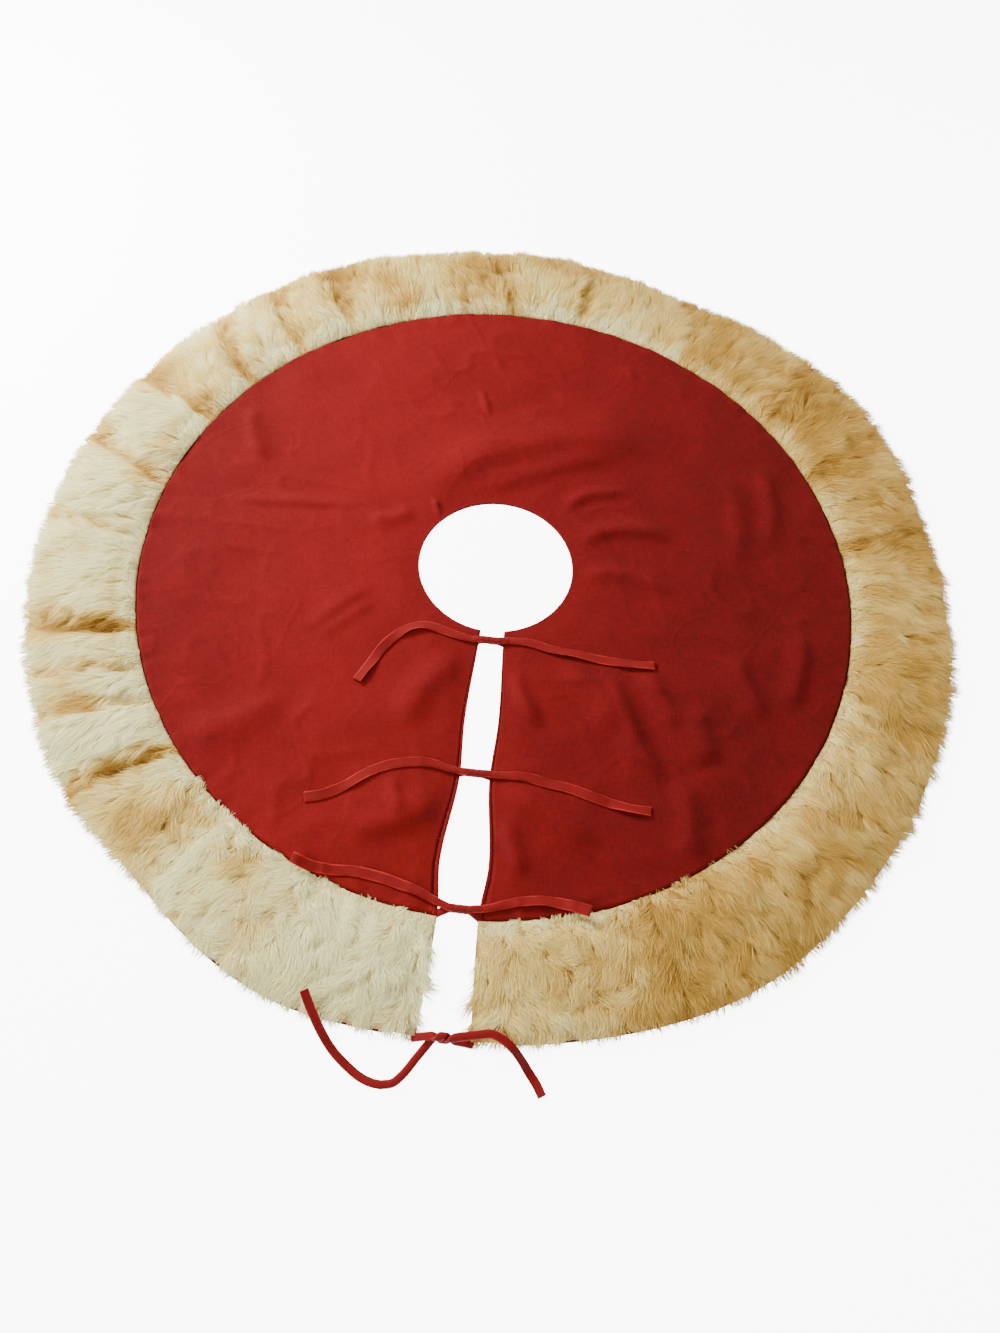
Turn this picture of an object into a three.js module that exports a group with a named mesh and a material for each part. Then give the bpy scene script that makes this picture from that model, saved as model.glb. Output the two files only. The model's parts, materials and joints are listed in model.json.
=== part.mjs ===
// A round tree skirt, laid flat on a floor with its front slit tied shut.
// A C-shaped face cloth lies on a C-shaped lining, a border of long-pile fabric is sewn round the
// face in four strips, and eight narrow ties make four half knots across the slit.
// Millimetres, +Z up, origin on the floor at the middle of the skirt, the slit runs along -Y.
import * as THREE from "three";

// ---- Driving dimensions -------------------------------------------------------------------------
const OUTER_RADIUS = 609.5; // to the edge of the border, 48 in across
const BORDER_WIDTH = 137; // from the face seam to the edge
const NECK_RADIUS = 103; // the trunk opening
const NECK_CENTRE = { x: -6, y: 4 }; // the opening lies a little off centre in the spread cloth
const LINING_THICKNESS = 0.6;
const FACE_THICKNESS = 1.0;
const SEAM_GAP = 1.0; // where the turned-in edges and the seam threads lie, between face and lining
const SEAM_DITCH = 1.2; // between the face cloth and the border, where the two turn down
const LINING_SETBACK = 7; // how far the lining stops short of the border's edge
const PILE_HEIGHT = 26; // the border at its fullest
const THREAD_DIAMETER = 0.4;
const THREAD_INSET = 3; // of a seam thread from the edge that it holds
const TIE_WIDTH = 12.7; // a half-inch folded tie
const TIE_THICKNESS = 1.5;
const GATHERED_DIAMETER = 4; // the same tie drawn together in its knot
const KNOT_LENGTH = 20;
const KNOT_TURNS = 1.5; // each tie of a half knot winds this far about the other
const CLEARANCE = 0.4; // between pieces that touch
const THIN_END_SHARE = 0.5; // of the pile's height, lost at the border's two ends at the slit
const THIN_END_SPREAD = 3.5; // degrees over which it comes back
const BACK_SHARE = 0.99; // of the border's width: its flat back stops just short of the edge
const STRAIGHT_LENGTH = 3; // of a drawn-together tie, just before its tail begins

// How finely the round and curved pieces are divided.
const ROUND_STEP = 3; // degrees
const STRIP_STEP = 4; // degrees
const SLIT_STEP = 16; // mm
const NECK_STEPS = 60;
const NECK_STEPS_BARE = 3; // at each slit corner, where the front seam's thread turns short of the neck
const THREAD_STEPS = 60;
const THREAD_SIDES = 6;
const KNOT_STEPS = 30;
const KNOT_SIDES = 8;
const TURN_STOPS = 12; // points in a turn of a half knot
const TAIL_STEPS = 18;

// Half the slit's width at each distance from the middle: it closes in where a tie holds it.
const SLIT_STATIONS = [
  { distance: 90, halfGap: 15 },
  { distance: 230, halfGap: 20.5 },
  { distance: 298, halfGap: 17.5 },
  { distance: 412, halfGap: 28 },
  { distance: 465, halfGap: 23 },
  { distance: 620, halfGap: 29 },
];

// Where the border stands out or draws in, in plan: at an angle, by a rise, over a spread in degrees.
const BORDER_FLARES = [
  { angle: 36, rise: 22, spread: 15 },
  { angle: 66, rise: -12, spread: 9 },
  { angle: 125, rise: 10, spread: 18 },
  { angle: 231, rise: -10, spread: 9 },
  { angle: 252, rise: 8, spread: 9 },
  { angle: 303, rise: 10, spread: 14 },
];

// The joints between the border's strips, in degrees from +X, counter-clockwise.
const STRIP_JOINTS = [-58, 77, 139];

// Each pair of ties: its knot, and the route of each free tail over the skirt from where it turns on
// its knot to its blunt end, as [x, y, height of the tie's underside above what it lies on]. A lead
// is the stretch over the floor between a knot and a tail that begins further out.
const TIE_PAIRS = [
  {
    name: "neck",
    knot: { x: -1, y: -114 },
    lies: "face",
    rightTail: [[22, -112, 0], [54, -113, 0], [79, -118, 0], [113, -121, 0], [141, -124, 0],
      [169, -126, 0], [191, -126, 0], [211, -125, 0]],
    leftTail: [[-24, -116, 0], [-44, -113, 0], [-70, -107, 0], [-87, -105, 0], [-104, -110, 0],
      [-119, -121, 0], [-135, -143, 0], [-149, -171, 0], [-160, -194, 0]],
  },
  {
    name: "middle",
    knot: { x: -1, y: -298 },
    lies: "face",
    rightTail: [[28, -298, 0], [57, -297, 0], [84, -301, 0], [113, -305, 0], [142, -313, 0],
      [172, -319, 0], [192, -322, 0], [212, -322, 0]],
    leftTail: [[-28, -297, 0], [-54, -293, 0], [-80, -295, 0], [-105, -302, 0], [-129, -316, 0],
      [-152, -334, 0], [-175, -348, 0], [-195, -353, 0]],
  },
  {
    name: "border",
    knot: { x: 2, y: -462 },
    lies: "face",
    rightTail: [[35, -458, 0], [54, -451, 0], [73, -446, 0], [95, -443, 0], [115, -444, 1],
      [132, -448, 7], [146, -452, 14]],
    leftTail: [[-30, -455, 0], [-48, -448, 0], [-67, -443, 0], [-88, -438, 0], [-108, -435, 0],
      [-127, -434, 0], [-151, -436, 1], [-173, -435, 7], [-192, -430, 12]],
  },
  {
    name: "hem",
    knot: { x: 1, y: -600 },
    lies: "floor",
    rightTail: [[38, -594, 20], [50, -592, 20], [62, -596, 19.5], [73, -603, 17], [84, -613, 9],
      [94, -624, 2], [103, -635, 0.2], [109, -645, 0.2]],
    leftLead: [[-18, -611], [-26, -623], [-36, -638], [-46, -648]],
    leftTail: [[-58, -651, 0.2], [-68, -650, 0.2], [-80, -646, 0.2], [-95, -637, 1],
      [-112, -624, 6], [-127, -607, 15], [-140, -588, 22], [-150, -571, 26]],
  },
];

// ---- Values that follow -------------------------------------------------------------------------
const SEAM_RADIUS = OUTER_RADIUS - BORDER_WIDTH;
const FACE_BASE = LINING_THICKNESS + SEAM_GAP;
const FACE_TOP = FACE_BASE + FACE_THICKNESS;
const THREAD_HEIGHT = LINING_THICKNESS + SEAM_GAP / 2;
const DEGREE = Math.PI / 180;
const SLIT_ANGLE = -90;

const MATERIALS = {
  face: { color: 0xa3241f, roughness: 0.9, metalness: 0 },
  lining: { color: 0x8e1b1b, roughness: 0.85, metalness: 0 },
  fur: { color: 0xe9dcb8, roughness: 1.0, metalness: 0 },
  tie: { color: 0x98201d, roughness: 0.9, metalness: 0 },
  thread: { color: 0xb53a33, roughness: 0.6, metalness: 0 },
};

/** Half the slit's width at a distance from the middle, eased between its stations. */
function slitHalfGap(distance) {
  const last = SLIT_STATIONS.length - 1;
  const next = SLIT_STATIONS.findIndex((s) => s.distance > distance);
  if (next === 0) return SLIT_STATIONS[0].halfGap;
  if (next < 0) return SLIT_STATIONS[last].halfGap;
  const [from, to] = [SLIT_STATIONS[next - 1], SLIT_STATIONS[next]];
  const share = THREE.MathUtils.smoothstep(distance, from.distance, to.distance);
  return THREE.MathUtils.lerp(from.halfGap, to.halfGap, share);
}

/** The angle, from the slit's middle line, at which the slit's edge stands at a radius. */
function slitHalfAngle(radius) {
  return Math.asin(slitHalfGap(radius) / radius) / DEGREE;
}

/** The border's radius at an angle in degrees, with its flares. */
function borderRadius(angle) {
  return BORDER_FLARES.reduce((radius, flare) => {
    const away = Math.abs(((angle - flare.angle + 540) % 360) - 180);
    return radius + flare.rise * Math.exp(-((away / flare.spread) ** 2));
  }, OUTER_RADIUS);
}

/** A point in plan at an angle in degrees and a radius. */
function polar(angle, radius) {
  return new THREE.Vector2(radius * Math.cos(angle * DEGREE), radius * Math.sin(angle * DEGREE));
}

/** Points from one corner of the slit round to the other, with radius as a function of angle. */
function roundPoints(radiusAt) {
  const half = slitHalfAngle(radiusAt(SLIT_ANGLE));
  const from = SLIT_ANGLE + half;
  const span = 360 - 2 * half;
  const count = Math.round(span / ROUND_STEP);
  return Array.from({ length: count + 1 }, (_, i) => {
    const angle = from + (span * i) / count;
    return polar(angle, radiusAt(angle));
  });
}

/** Where a slit edge meets the neck: side is 1 on the right and -1 on the left. */
function neckCorner(side) {
  const x = side * slitHalfGap(NECK_RADIUS);
  const across = x - NECK_CENTRE.x;
  return new THREE.Vector2(x, NECK_CENTRE.y - Math.sqrt(NECK_RADIUS ** 2 - across ** 2));
}

/** Points down a slit edge from the neck to a radius, without its two ends, set in from the edge. */
function slitPoints(side, outerRadius, inset = 0) {
  const from = -neckCorner(side).y;
  const count = Math.round((outerRadius - from) / SLIT_STEP);
  return Array.from({ length: count - 1 }, (_, i) => {
    const distance = from + ((outerRadius - from) * (i + 1)) / count;
    return new THREE.Vector2(side * (slitHalfGap(distance) + inset), -distance);
  });
}

/** Points round the neck from the right corner to the left one, set out from the edge. */
function neckPoints(inset = 0) {
  const centre = new THREE.Vector2(NECK_CENTRE.x, NECK_CENTRE.y);
  const start = neckCorner(1).sub(centre).angle() - 2 * Math.PI;
  const end = neckCorner(-1).sub(centre).angle();
  return new THREE.EllipseCurve(
    centre.x, centre.y, NECK_RADIUS + inset, NECK_RADIUS + inset, start, end,
  ).getPoints(NECK_STEPS);
}

/** A C-shaped sheet, open at the neck and the slit, out to a radius given at each angle. */
function cShapedSheet(radiusAt, thickness) {
  const rim = roundPoints(radiusAt);
  const slitEnd = radiusAt(SLIT_ANGLE);
  const outline = new THREE.Shape([
    ...rim,
    ...slitPoints(-1, slitEnd).reverse(),
    ...neckPoints().reverse(),
    ...slitPoints(1, slitEnd),
  ]);
  return new THREE.ExtrudeGeometry(outline, { depth: thickness, bevelEnabled: false });
}

/** A round arc about the origin, on the floor, between two angles in degrees. */
class FloorArc extends THREE.Curve {
  constructor(radius, fromAngle, toAngle) {
    super();
    Object.assign(this, { radius, fromAngle, toAngle });
  }

  getPoint(t, target = new THREE.Vector3()) {
    const point = polar(THREE.MathUtils.lerp(this.fromAngle, this.toAngle, t), this.radius);
    return target.set(point.x, point.y, 0);
  }
}

/** A section point for a sweep along a level curve, from how far out and how far up it stands. */
function sectionPoint(out, up) {
  return new THREE.Vector2(-up, -out);
}

/** The border's section: a low hump of pile from the seam to the edge, on a flat back. */
function borderSection() {
  const width = BORDER_WIDTH - SEAM_DITCH / 2;
  const inner = SEAM_DITCH / 2;
  const hump = [
    { share: 0, height: 0.12 }, { share: 0.05, height: 0.42 }, { share: 0.16, height: 0.74 },
    { share: 0.34, height: 0.95 }, { share: 0.55, height: 1 }, { share: 0.74, height: 0.93 },
    { share: 0.88, height: 0.74 }, { share: 0.96, height: 0.48 }, { share: 1, height: 0.14 },
  ];
  const top = hump.map(({ share, height }) => sectionPoint(inner + share * width, height * PILE_HEIGHT));
  return new THREE.Shape([sectionPoint(inner + width * BACK_SHARE, 0), sectionPoint(inner, 0), ...top]);
}

/** How full the pile is at an angle: it thins towards the two ends at the slit. */
function pileShare(angle) {
  const away = Math.abs(((angle - SLIT_ANGLE + 540) % 360) - 180) - slitHalfAngle(SEAM_RADIUS);
  return 1 - THIN_END_SHARE * Math.exp(-((away / THIN_END_SPREAD) ** 2));
}

/** One strip of the border between two angles, following the border's flares and its thin ends. */
function borderStrip(fromAngle, toAngle) {
  const geometry = new THREE.ExtrudeGeometry(borderSection(), {
    steps: Math.ceil((toAngle - fromAngle) / STRIP_STEP),
    extrudePath: new FloorArc(SEAM_RADIUS, fromAngle, toAngle),
    bevelEnabled: false,
  });
  const place = geometry.getAttribute("position");
  for (let i = 0; i < place.count; i++) {
    const [x, y, z] = [place.getX(i), place.getY(i), place.getZ(i)];
    const angle = Math.atan2(y, x) / DEGREE;
    const stretch = (borderRadius(angle) - SEAM_RADIUS) / BORDER_WIDTH;
    const radius = SEAM_RADIUS + (Math.hypot(x, y) - SEAM_RADIUS) * stretch;
    const point = polar(angle, radius);
    place.setXYZ(i, point.x, point.y, z * pileShare(angle));
  }
  return geometry;
}

/** A smooth curve through points, whose sweeps keep their section's second axis level. */
class LevelCurve extends THREE.CatmullRomCurve3 {
  constructor(points) {
    super(points, false, "centripetal");
  }

  computeFrenetFrames(segments) {
    const down = new THREE.Vector3(0, 0, -1);
    const tangents = Array.from({ length: segments + 1 }, (_, i) => this.getTangentAt(i / segments));
    const binormals = tangents.map((t) => new THREE.Vector3().crossVectors(t, down).normalize());
    const normals = tangents.map((t, i) => new THREE.Vector3().crossVectors(binormals[i], t));
    return { tangents, normals, binormals };
  }
}

/** A closed tube of a section along a curve. */
function tube(curve, section, steps) {
  return new THREE.ExtrudeGeometry(section, { steps, extrudePath: curve, bevelEnabled: false });
}

/** A round section with a number of sides. */
function roundSection(diameter, sides) {
  const corners = Array.from({ length: sides }, (_, i) => polar((360 * i) / sides, diameter / 2));
  return new THREE.Shape(corners);
}

/** A flat tie's section, with its thickness along the first axis and chamfered edges. */
function tieSection() {
  const [t, w, c] = [TIE_THICKNESS / 2, TIE_WIDTH / 2, TIE_THICKNESS / 4];
  const corners = [[t, -w + c], [t, w - c], [t - c, w], [c - t, w], [-t, w - c], [-t, c - w],
    [c - t, -w], [t - c, -w]];
  return new THREE.Shape(corners.map(([x, y]) => new THREE.Vector2(x, y)));
}

/** A seam thread through plan points, in the layer between the face and the lining. */
function seamThread(points) {
  const curve = new LevelCurve(points.map((p) => new THREE.Vector3(p.x, p.y, THREAD_HEIGHT)));
  return tube(curve, roundSection(THREAD_DIAMETER, THREAD_SIDES), THREAD_STEPS);
}

/** The height of the middle of a tail that lies on the face or on the floor. */
function tailHeight(lies, rise) {
  const rest = lies === "face" ? FACE_TOP + CLEARANCE : 0;
  return rest + TIE_THICKNESS / 2 + rise;
}

/** The curve of a tie's free tail. */
function tailCurve(tail, lies) {
  return new LevelCurve(tail.map(([x, y, rise]) => new THREE.Vector3(x, y, tailHeight(lies, rise))));
}

/**
 * The curve of the sewn end of a tie: from the slit's edge, one and a half turns about the other tie
 * of its pair, and out on the far side to where its tail begins. side is where it is sewn.
 */
function knotCurve(pair, side, tail) {
  const turnRadius = GATHERED_DIAMETER / 2 + CLEARANCE;
  const sewnHeight = GATHERED_DIAMETER / 2 + CLEARANCE / 2;
  const [start, second] = tailCurve(tail, pair.lies).getPoints(tail.length - 1);
  const away = new THREE.Vector3().subVectors(start, second).setZ(0).normalize();
  const end = start.clone().addScaledVector(away, CLEARANCE);
  const leaveHeight = Math.max(start.z + (GATHERED_DIAMETER - TIE_THICKNESS) / 2, sewnHeight);
  end.z = leaveHeight;
  const axisHeight = Math.max(sewnHeight + turnRadius, leaveHeight - turnRadius);
  const edge = side * (slitHalfGap(-pair.knot.y) - GATHERED_DIAMETER / 2);
  const sewn = new THREE.Vector3(edge, pair.knot.y - GATHERED_DIAMETER / 2, sewnHeight);
  const stops = KNOT_TURNS * TURN_STOPS;
  const winding = Array.from({ length: stops + 1 }, (_, i) => {
    const share = i / stops;
    const phase = -Math.PI / 2 + side * KNOT_TURNS * 2 * Math.PI * share;
    return new THREE.Vector3(
      pair.knot.x + side * KNOT_LENGTH * (0.5 - share),
      pair.knot.y + turnRadius * Math.cos(phase),
      axisHeight + turnRadius * Math.sin(phase),
    );
  });
  const nearEnd = end.clone().addScaledVector(away, STRAIGHT_LENGTH);
  const lead = (side > 0 && pair.leftLead) || [];
  const leadPoints = lead.map(([x, y]) => new THREE.Vector3(x, y, sewnHeight + CLEARANCE));
  return new LevelCurve([sewn, ...winding, ...leadPoints, nearEnd, end]);
}

const group = new THREE.Group();

/** Adds a named piece at a height. */
function add(name, geometry, material, height = 0) {
  const mesh = new THREE.Mesh(geometry, new THREE.MeshStandardMaterial(MATERIALS[material]));
  mesh.name = name;
  mesh.position.z = height;
  group.add(mesh);
}

add("lining", cShapedSheet((a) => borderRadius(a) - LINING_SETBACK, LINING_THICKNESS), "lining");
add("face_cloth", cShapedSheet(() => SEAM_RADIUS - SEAM_DITCH / 2, FACE_THICKNESS), "face", FACE_BASE);

const slitEndAngle = slitHalfAngle(SEAM_RADIUS);
const stripEnds = [SLIT_ANGLE + slitEndAngle, ...STRIP_JOINTS, SLIT_ANGLE + 360 - slitEndAngle];
const jointHalfAngle = CLEARANCE / 2 / SEAM_RADIUS / DEGREE;
stripEnds.slice(1).forEach((toAngle, i) => {
  const strip = borderStrip(stripEnds[i] + jointHalfAngle, toAngle - jointHalfAngle);
  add(`fur_strip_${i + 1}`, strip, "fur", FACE_BASE);
});

add("border_seam_thread", seamThread(roundPoints(() => SEAM_RADIUS)), "thread");
const hemThreadRadius = (angle) => borderRadius(angle) - LINING_SETBACK - THREAD_INSET;
add("hem_seam_thread", seamThread(roundPoints(hemThreadRadius)), "thread");
const frontSeam = [
  ...slitPoints(1, SEAM_RADIUS - THREAD_INSET, THREAD_INSET).reverse(),
  ...neckPoints(THREAD_INSET).slice(NECK_STEPS_BARE, -NECK_STEPS_BARE),
  ...slitPoints(-1, SEAM_RADIUS - THREAD_INSET, THREAD_INSET),
];
add("front_seam_thread", seamThread(frontSeam), "thread");

for (const pair of TIE_PAIRS) {
  for (const side of [-1, 1]) {
    const sewnOn = side < 0 ? "left" : "right";
    const tail = side < 0 ? pair.rightTail : pair.leftTail;
    const name = `${pair.name}_tie_${sewnOn}`;
    const gathered = roundSection(GATHERED_DIAMETER, KNOT_SIDES);
    add(name, tube(knotCurve(pair, side, tail), gathered, KNOT_STEPS), "tie");
    add(`${name}_tail`, tube(tailCurve(tail, pair.lies), tieSection(), TAIL_STEPS), "tie");
  }
}

export default group;
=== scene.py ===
"""A round tree skirt, laid flat on a pale floor with its front slit tied shut.

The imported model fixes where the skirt's edges, seams and ties lie. Here the face cloth gets its folds, the
border its gathered backing and long pile, and the ties their folded tape and half knots. Metres, +Z up, the
slit runs along -Y.
"""
import sys
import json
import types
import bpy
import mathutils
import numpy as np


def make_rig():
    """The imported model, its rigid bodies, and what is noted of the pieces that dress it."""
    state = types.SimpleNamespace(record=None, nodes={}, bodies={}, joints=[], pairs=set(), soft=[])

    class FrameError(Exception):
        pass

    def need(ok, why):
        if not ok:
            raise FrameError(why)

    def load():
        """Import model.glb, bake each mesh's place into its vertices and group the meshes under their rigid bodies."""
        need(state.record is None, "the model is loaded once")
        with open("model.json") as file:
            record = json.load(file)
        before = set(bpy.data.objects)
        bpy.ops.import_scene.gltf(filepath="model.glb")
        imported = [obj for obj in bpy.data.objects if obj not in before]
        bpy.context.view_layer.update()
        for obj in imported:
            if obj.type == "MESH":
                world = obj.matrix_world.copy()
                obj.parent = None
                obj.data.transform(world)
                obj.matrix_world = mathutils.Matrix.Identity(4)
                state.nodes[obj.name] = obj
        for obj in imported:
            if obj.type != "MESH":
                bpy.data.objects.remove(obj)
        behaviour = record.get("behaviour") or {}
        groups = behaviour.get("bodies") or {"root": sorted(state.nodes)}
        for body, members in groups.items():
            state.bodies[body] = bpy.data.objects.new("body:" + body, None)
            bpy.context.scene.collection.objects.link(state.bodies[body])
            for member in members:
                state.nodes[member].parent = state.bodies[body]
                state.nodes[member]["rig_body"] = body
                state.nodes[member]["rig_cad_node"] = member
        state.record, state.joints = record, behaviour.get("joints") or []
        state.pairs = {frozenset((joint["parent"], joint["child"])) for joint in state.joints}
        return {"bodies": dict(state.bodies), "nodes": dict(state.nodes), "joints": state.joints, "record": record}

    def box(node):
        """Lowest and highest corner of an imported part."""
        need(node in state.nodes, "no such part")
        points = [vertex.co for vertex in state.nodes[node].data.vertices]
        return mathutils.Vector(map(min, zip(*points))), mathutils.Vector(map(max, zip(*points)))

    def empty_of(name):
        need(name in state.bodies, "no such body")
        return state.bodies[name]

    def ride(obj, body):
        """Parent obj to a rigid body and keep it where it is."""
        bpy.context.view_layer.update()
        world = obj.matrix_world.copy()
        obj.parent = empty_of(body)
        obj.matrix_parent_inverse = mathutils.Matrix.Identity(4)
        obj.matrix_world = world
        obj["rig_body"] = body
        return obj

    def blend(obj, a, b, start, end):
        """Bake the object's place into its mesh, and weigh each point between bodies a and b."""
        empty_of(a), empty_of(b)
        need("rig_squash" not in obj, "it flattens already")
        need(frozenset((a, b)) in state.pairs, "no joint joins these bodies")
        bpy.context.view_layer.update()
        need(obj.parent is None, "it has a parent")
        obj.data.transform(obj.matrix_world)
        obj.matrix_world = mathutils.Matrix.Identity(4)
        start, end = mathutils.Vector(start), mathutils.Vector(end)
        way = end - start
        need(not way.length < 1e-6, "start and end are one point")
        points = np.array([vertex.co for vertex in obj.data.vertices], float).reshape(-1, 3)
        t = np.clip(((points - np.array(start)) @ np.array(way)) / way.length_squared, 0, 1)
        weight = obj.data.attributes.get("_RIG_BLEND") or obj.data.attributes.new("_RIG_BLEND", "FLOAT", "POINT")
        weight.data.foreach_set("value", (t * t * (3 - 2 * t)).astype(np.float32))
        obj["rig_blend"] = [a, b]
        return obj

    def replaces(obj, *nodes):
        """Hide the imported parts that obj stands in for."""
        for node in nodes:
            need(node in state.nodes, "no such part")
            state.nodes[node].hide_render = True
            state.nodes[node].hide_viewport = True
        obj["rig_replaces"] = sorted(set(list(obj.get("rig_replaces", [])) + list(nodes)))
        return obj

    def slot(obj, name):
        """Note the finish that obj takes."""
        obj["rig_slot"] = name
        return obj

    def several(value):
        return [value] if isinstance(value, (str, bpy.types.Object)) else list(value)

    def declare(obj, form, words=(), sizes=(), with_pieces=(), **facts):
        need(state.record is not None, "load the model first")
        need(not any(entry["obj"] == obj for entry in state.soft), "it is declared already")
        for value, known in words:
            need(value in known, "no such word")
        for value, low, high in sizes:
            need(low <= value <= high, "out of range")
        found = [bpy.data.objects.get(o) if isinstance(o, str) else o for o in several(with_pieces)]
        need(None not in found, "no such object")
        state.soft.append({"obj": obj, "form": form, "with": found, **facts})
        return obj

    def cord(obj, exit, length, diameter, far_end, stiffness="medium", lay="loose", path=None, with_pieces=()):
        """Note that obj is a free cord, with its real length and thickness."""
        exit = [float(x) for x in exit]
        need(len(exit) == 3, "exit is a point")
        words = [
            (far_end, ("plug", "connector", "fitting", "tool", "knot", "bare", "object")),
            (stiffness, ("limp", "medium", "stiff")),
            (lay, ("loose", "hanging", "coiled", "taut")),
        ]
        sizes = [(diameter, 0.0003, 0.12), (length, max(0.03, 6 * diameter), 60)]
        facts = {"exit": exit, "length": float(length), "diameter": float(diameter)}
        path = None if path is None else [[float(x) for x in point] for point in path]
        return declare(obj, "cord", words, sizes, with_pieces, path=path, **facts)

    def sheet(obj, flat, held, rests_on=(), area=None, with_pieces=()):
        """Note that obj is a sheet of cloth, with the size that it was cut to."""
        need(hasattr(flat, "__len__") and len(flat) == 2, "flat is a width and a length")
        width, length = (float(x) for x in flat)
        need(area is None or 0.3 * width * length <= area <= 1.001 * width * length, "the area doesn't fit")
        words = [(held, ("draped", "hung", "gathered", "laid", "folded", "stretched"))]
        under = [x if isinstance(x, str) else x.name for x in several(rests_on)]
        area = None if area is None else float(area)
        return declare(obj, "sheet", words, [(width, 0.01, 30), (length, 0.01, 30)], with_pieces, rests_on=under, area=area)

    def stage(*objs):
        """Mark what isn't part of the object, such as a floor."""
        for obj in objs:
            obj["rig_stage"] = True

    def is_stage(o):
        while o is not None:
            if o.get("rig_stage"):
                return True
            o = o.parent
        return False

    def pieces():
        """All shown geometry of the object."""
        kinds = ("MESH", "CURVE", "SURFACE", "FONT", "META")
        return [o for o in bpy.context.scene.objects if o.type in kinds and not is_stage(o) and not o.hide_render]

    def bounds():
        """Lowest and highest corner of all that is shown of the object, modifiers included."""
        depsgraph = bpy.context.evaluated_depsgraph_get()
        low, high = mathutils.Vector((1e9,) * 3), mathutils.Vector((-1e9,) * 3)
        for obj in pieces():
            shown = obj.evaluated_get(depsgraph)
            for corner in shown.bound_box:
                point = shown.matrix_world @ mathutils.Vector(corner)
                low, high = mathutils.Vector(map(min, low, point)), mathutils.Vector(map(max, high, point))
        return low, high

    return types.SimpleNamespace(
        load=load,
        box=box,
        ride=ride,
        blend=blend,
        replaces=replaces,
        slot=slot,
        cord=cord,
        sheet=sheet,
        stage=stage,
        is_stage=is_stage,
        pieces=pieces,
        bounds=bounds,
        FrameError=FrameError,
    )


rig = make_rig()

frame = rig.load()

import json
import logging
import math
from dataclasses import dataclass, field
from enum import Enum
from typing import Any

import bpy
import numpy as np
from mathutils import Matrix, Vector

MM = 0.001
CAD_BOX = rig.bounds()
LOG = logging.getLogger("tree_skirt")
Array = np.ndarray


# ---- Small helpers ------------------------------------------------------------------------------


def ease(low: float, high: float, value: Array) -> Array:
    """Rises smoothly from 0 at low to 1 at high.

    Args:
        low: where the rise starts.
        high: where it ends; below low, the result falls instead.
        value: the numbers to ease.

    Returns:
        The eased share of each number, from 0 to 1.
    """
    share = np.clip((value - low) / (high - low), 0.0, 1.0)
    return share * share * (3.0 - 2.0 * share)


def linear_colour(hex_colour: str) -> tuple[float, float, float, float]:
    """Turns an sRGB colour such as "#a3241f" into the linear colour a shader takes.

    Args:
        hex_colour: a hash and six hexadecimal digits.

    Returns:
        Red, green, blue and an alpha of 1.
    """
    channels = [int(hex_colour[i : i + 2], 16) / 255 for i in (1, 3, 5)]
    linear = [c / 12.92 if c <= 0.04045 else ((c + 0.055) / 1.055) ** 2.4 for c in channels]
    return (linear[0], linear[1], linear[2], 1.0)


@dataclass
class SmoothNoise:
    """Seeded noise over a plane that varies smoothly between -1 and 1.

    Attributes:
        seed: picks the pattern.
        cell: the distance over which it changes.
    """

    seed: int
    cell: float
    size: int = 128
    table: Array = field(init=False, repr=False)

    def __post_init__(self) -> None:
        """Draws the values at the corners of the cells."""
        self.table = np.random.default_rng(self.seed).uniform(-1.0, 1.0, (self.size, self.size))

    def at(self, x: Array, y: Array) -> Array:
        """The noise at points.

        Args:
            x: the points' first coordinates.
            y: their second coordinates.

        Returns:
            One value for each point.
        """
        across, along = np.asarray(x) / self.cell, np.asarray(y) / self.cell
        i, j = np.floor(across).astype(int), np.floor(along).astype(int)
        s, t = ease(0.0, 1.0, across - i), ease(0.0, 1.0, along - j)
        n = self.size
        low = self.table[i % n, j % n] * (1 - s) + self.table[(i + 1) % n, j % n] * s
        high = self.table[i % n, (j + 1) % n] * (1 - s) + self.table[(i + 1) % n, (j + 1) % n] * s
        return low * (1 - t) + high * t


def smooth_line(points: Array, step: float) -> Array:
    """Draws a smooth line through points, with its own points evenly spaced.

    Args:
        points: the stops, each row a point.
        step: the distance between the new points.

    Returns:
        The line's points, from the first stop to the last.
    """
    stops = np.asarray(points, float)
    padded = np.vstack([2 * stops[0] - stops[1], stops, 2 * stops[-1] - stops[-2]])
    pieces = []
    for a, b, c, d in zip(padded[:-3], padded[1:-2], padded[2:-1], padded[3:]):
        gaps = [math.sqrt(max(np.linalg.norm(q - p), 1e-9)) for p, q in ((a, b), (b, c), (c, d))]
        knots = np.cumsum([0.0, *gaps])
        t = np.linspace(knots[1], knots[2], 24, endpoint=False)[:, None]

        def between(p: Array, q: Array, low: float, high: float, at: Array = t) -> Array:
            """The point a share of the way from p to q."""
            return (high - at) / (high - low) * p + (at - low) / (high - low) * q

        ab, bc, cd = between(a, b, *knots[:2]), between(b, c, *knots[1:3]), between(c, d, *knots[2:])
        abc, bcd = between(ab, bc, knots[0], knots[2]), between(bc, cd, knots[1], knots[3])
        pieces.append(between(abc, bcd, knots[1], knots[2]))
    line = np.vstack([*pieces, stops[-1:]])
    along = np.concatenate([[0.0], np.cumsum(np.linalg.norm(np.diff(line, axis=0), axis=1))])
    even = np.linspace(0.0, along[-1], max(2, round(along[-1] / step)) + 1)
    return np.stack([np.interp(even, along, line[:, k]) for k in range(line.shape[1])], axis=1)


def line_length(points: Array) -> float:
    """The length of a line through points."""
    return float(np.linalg.norm(np.diff(points, axis=0), axis=1).sum())


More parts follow.
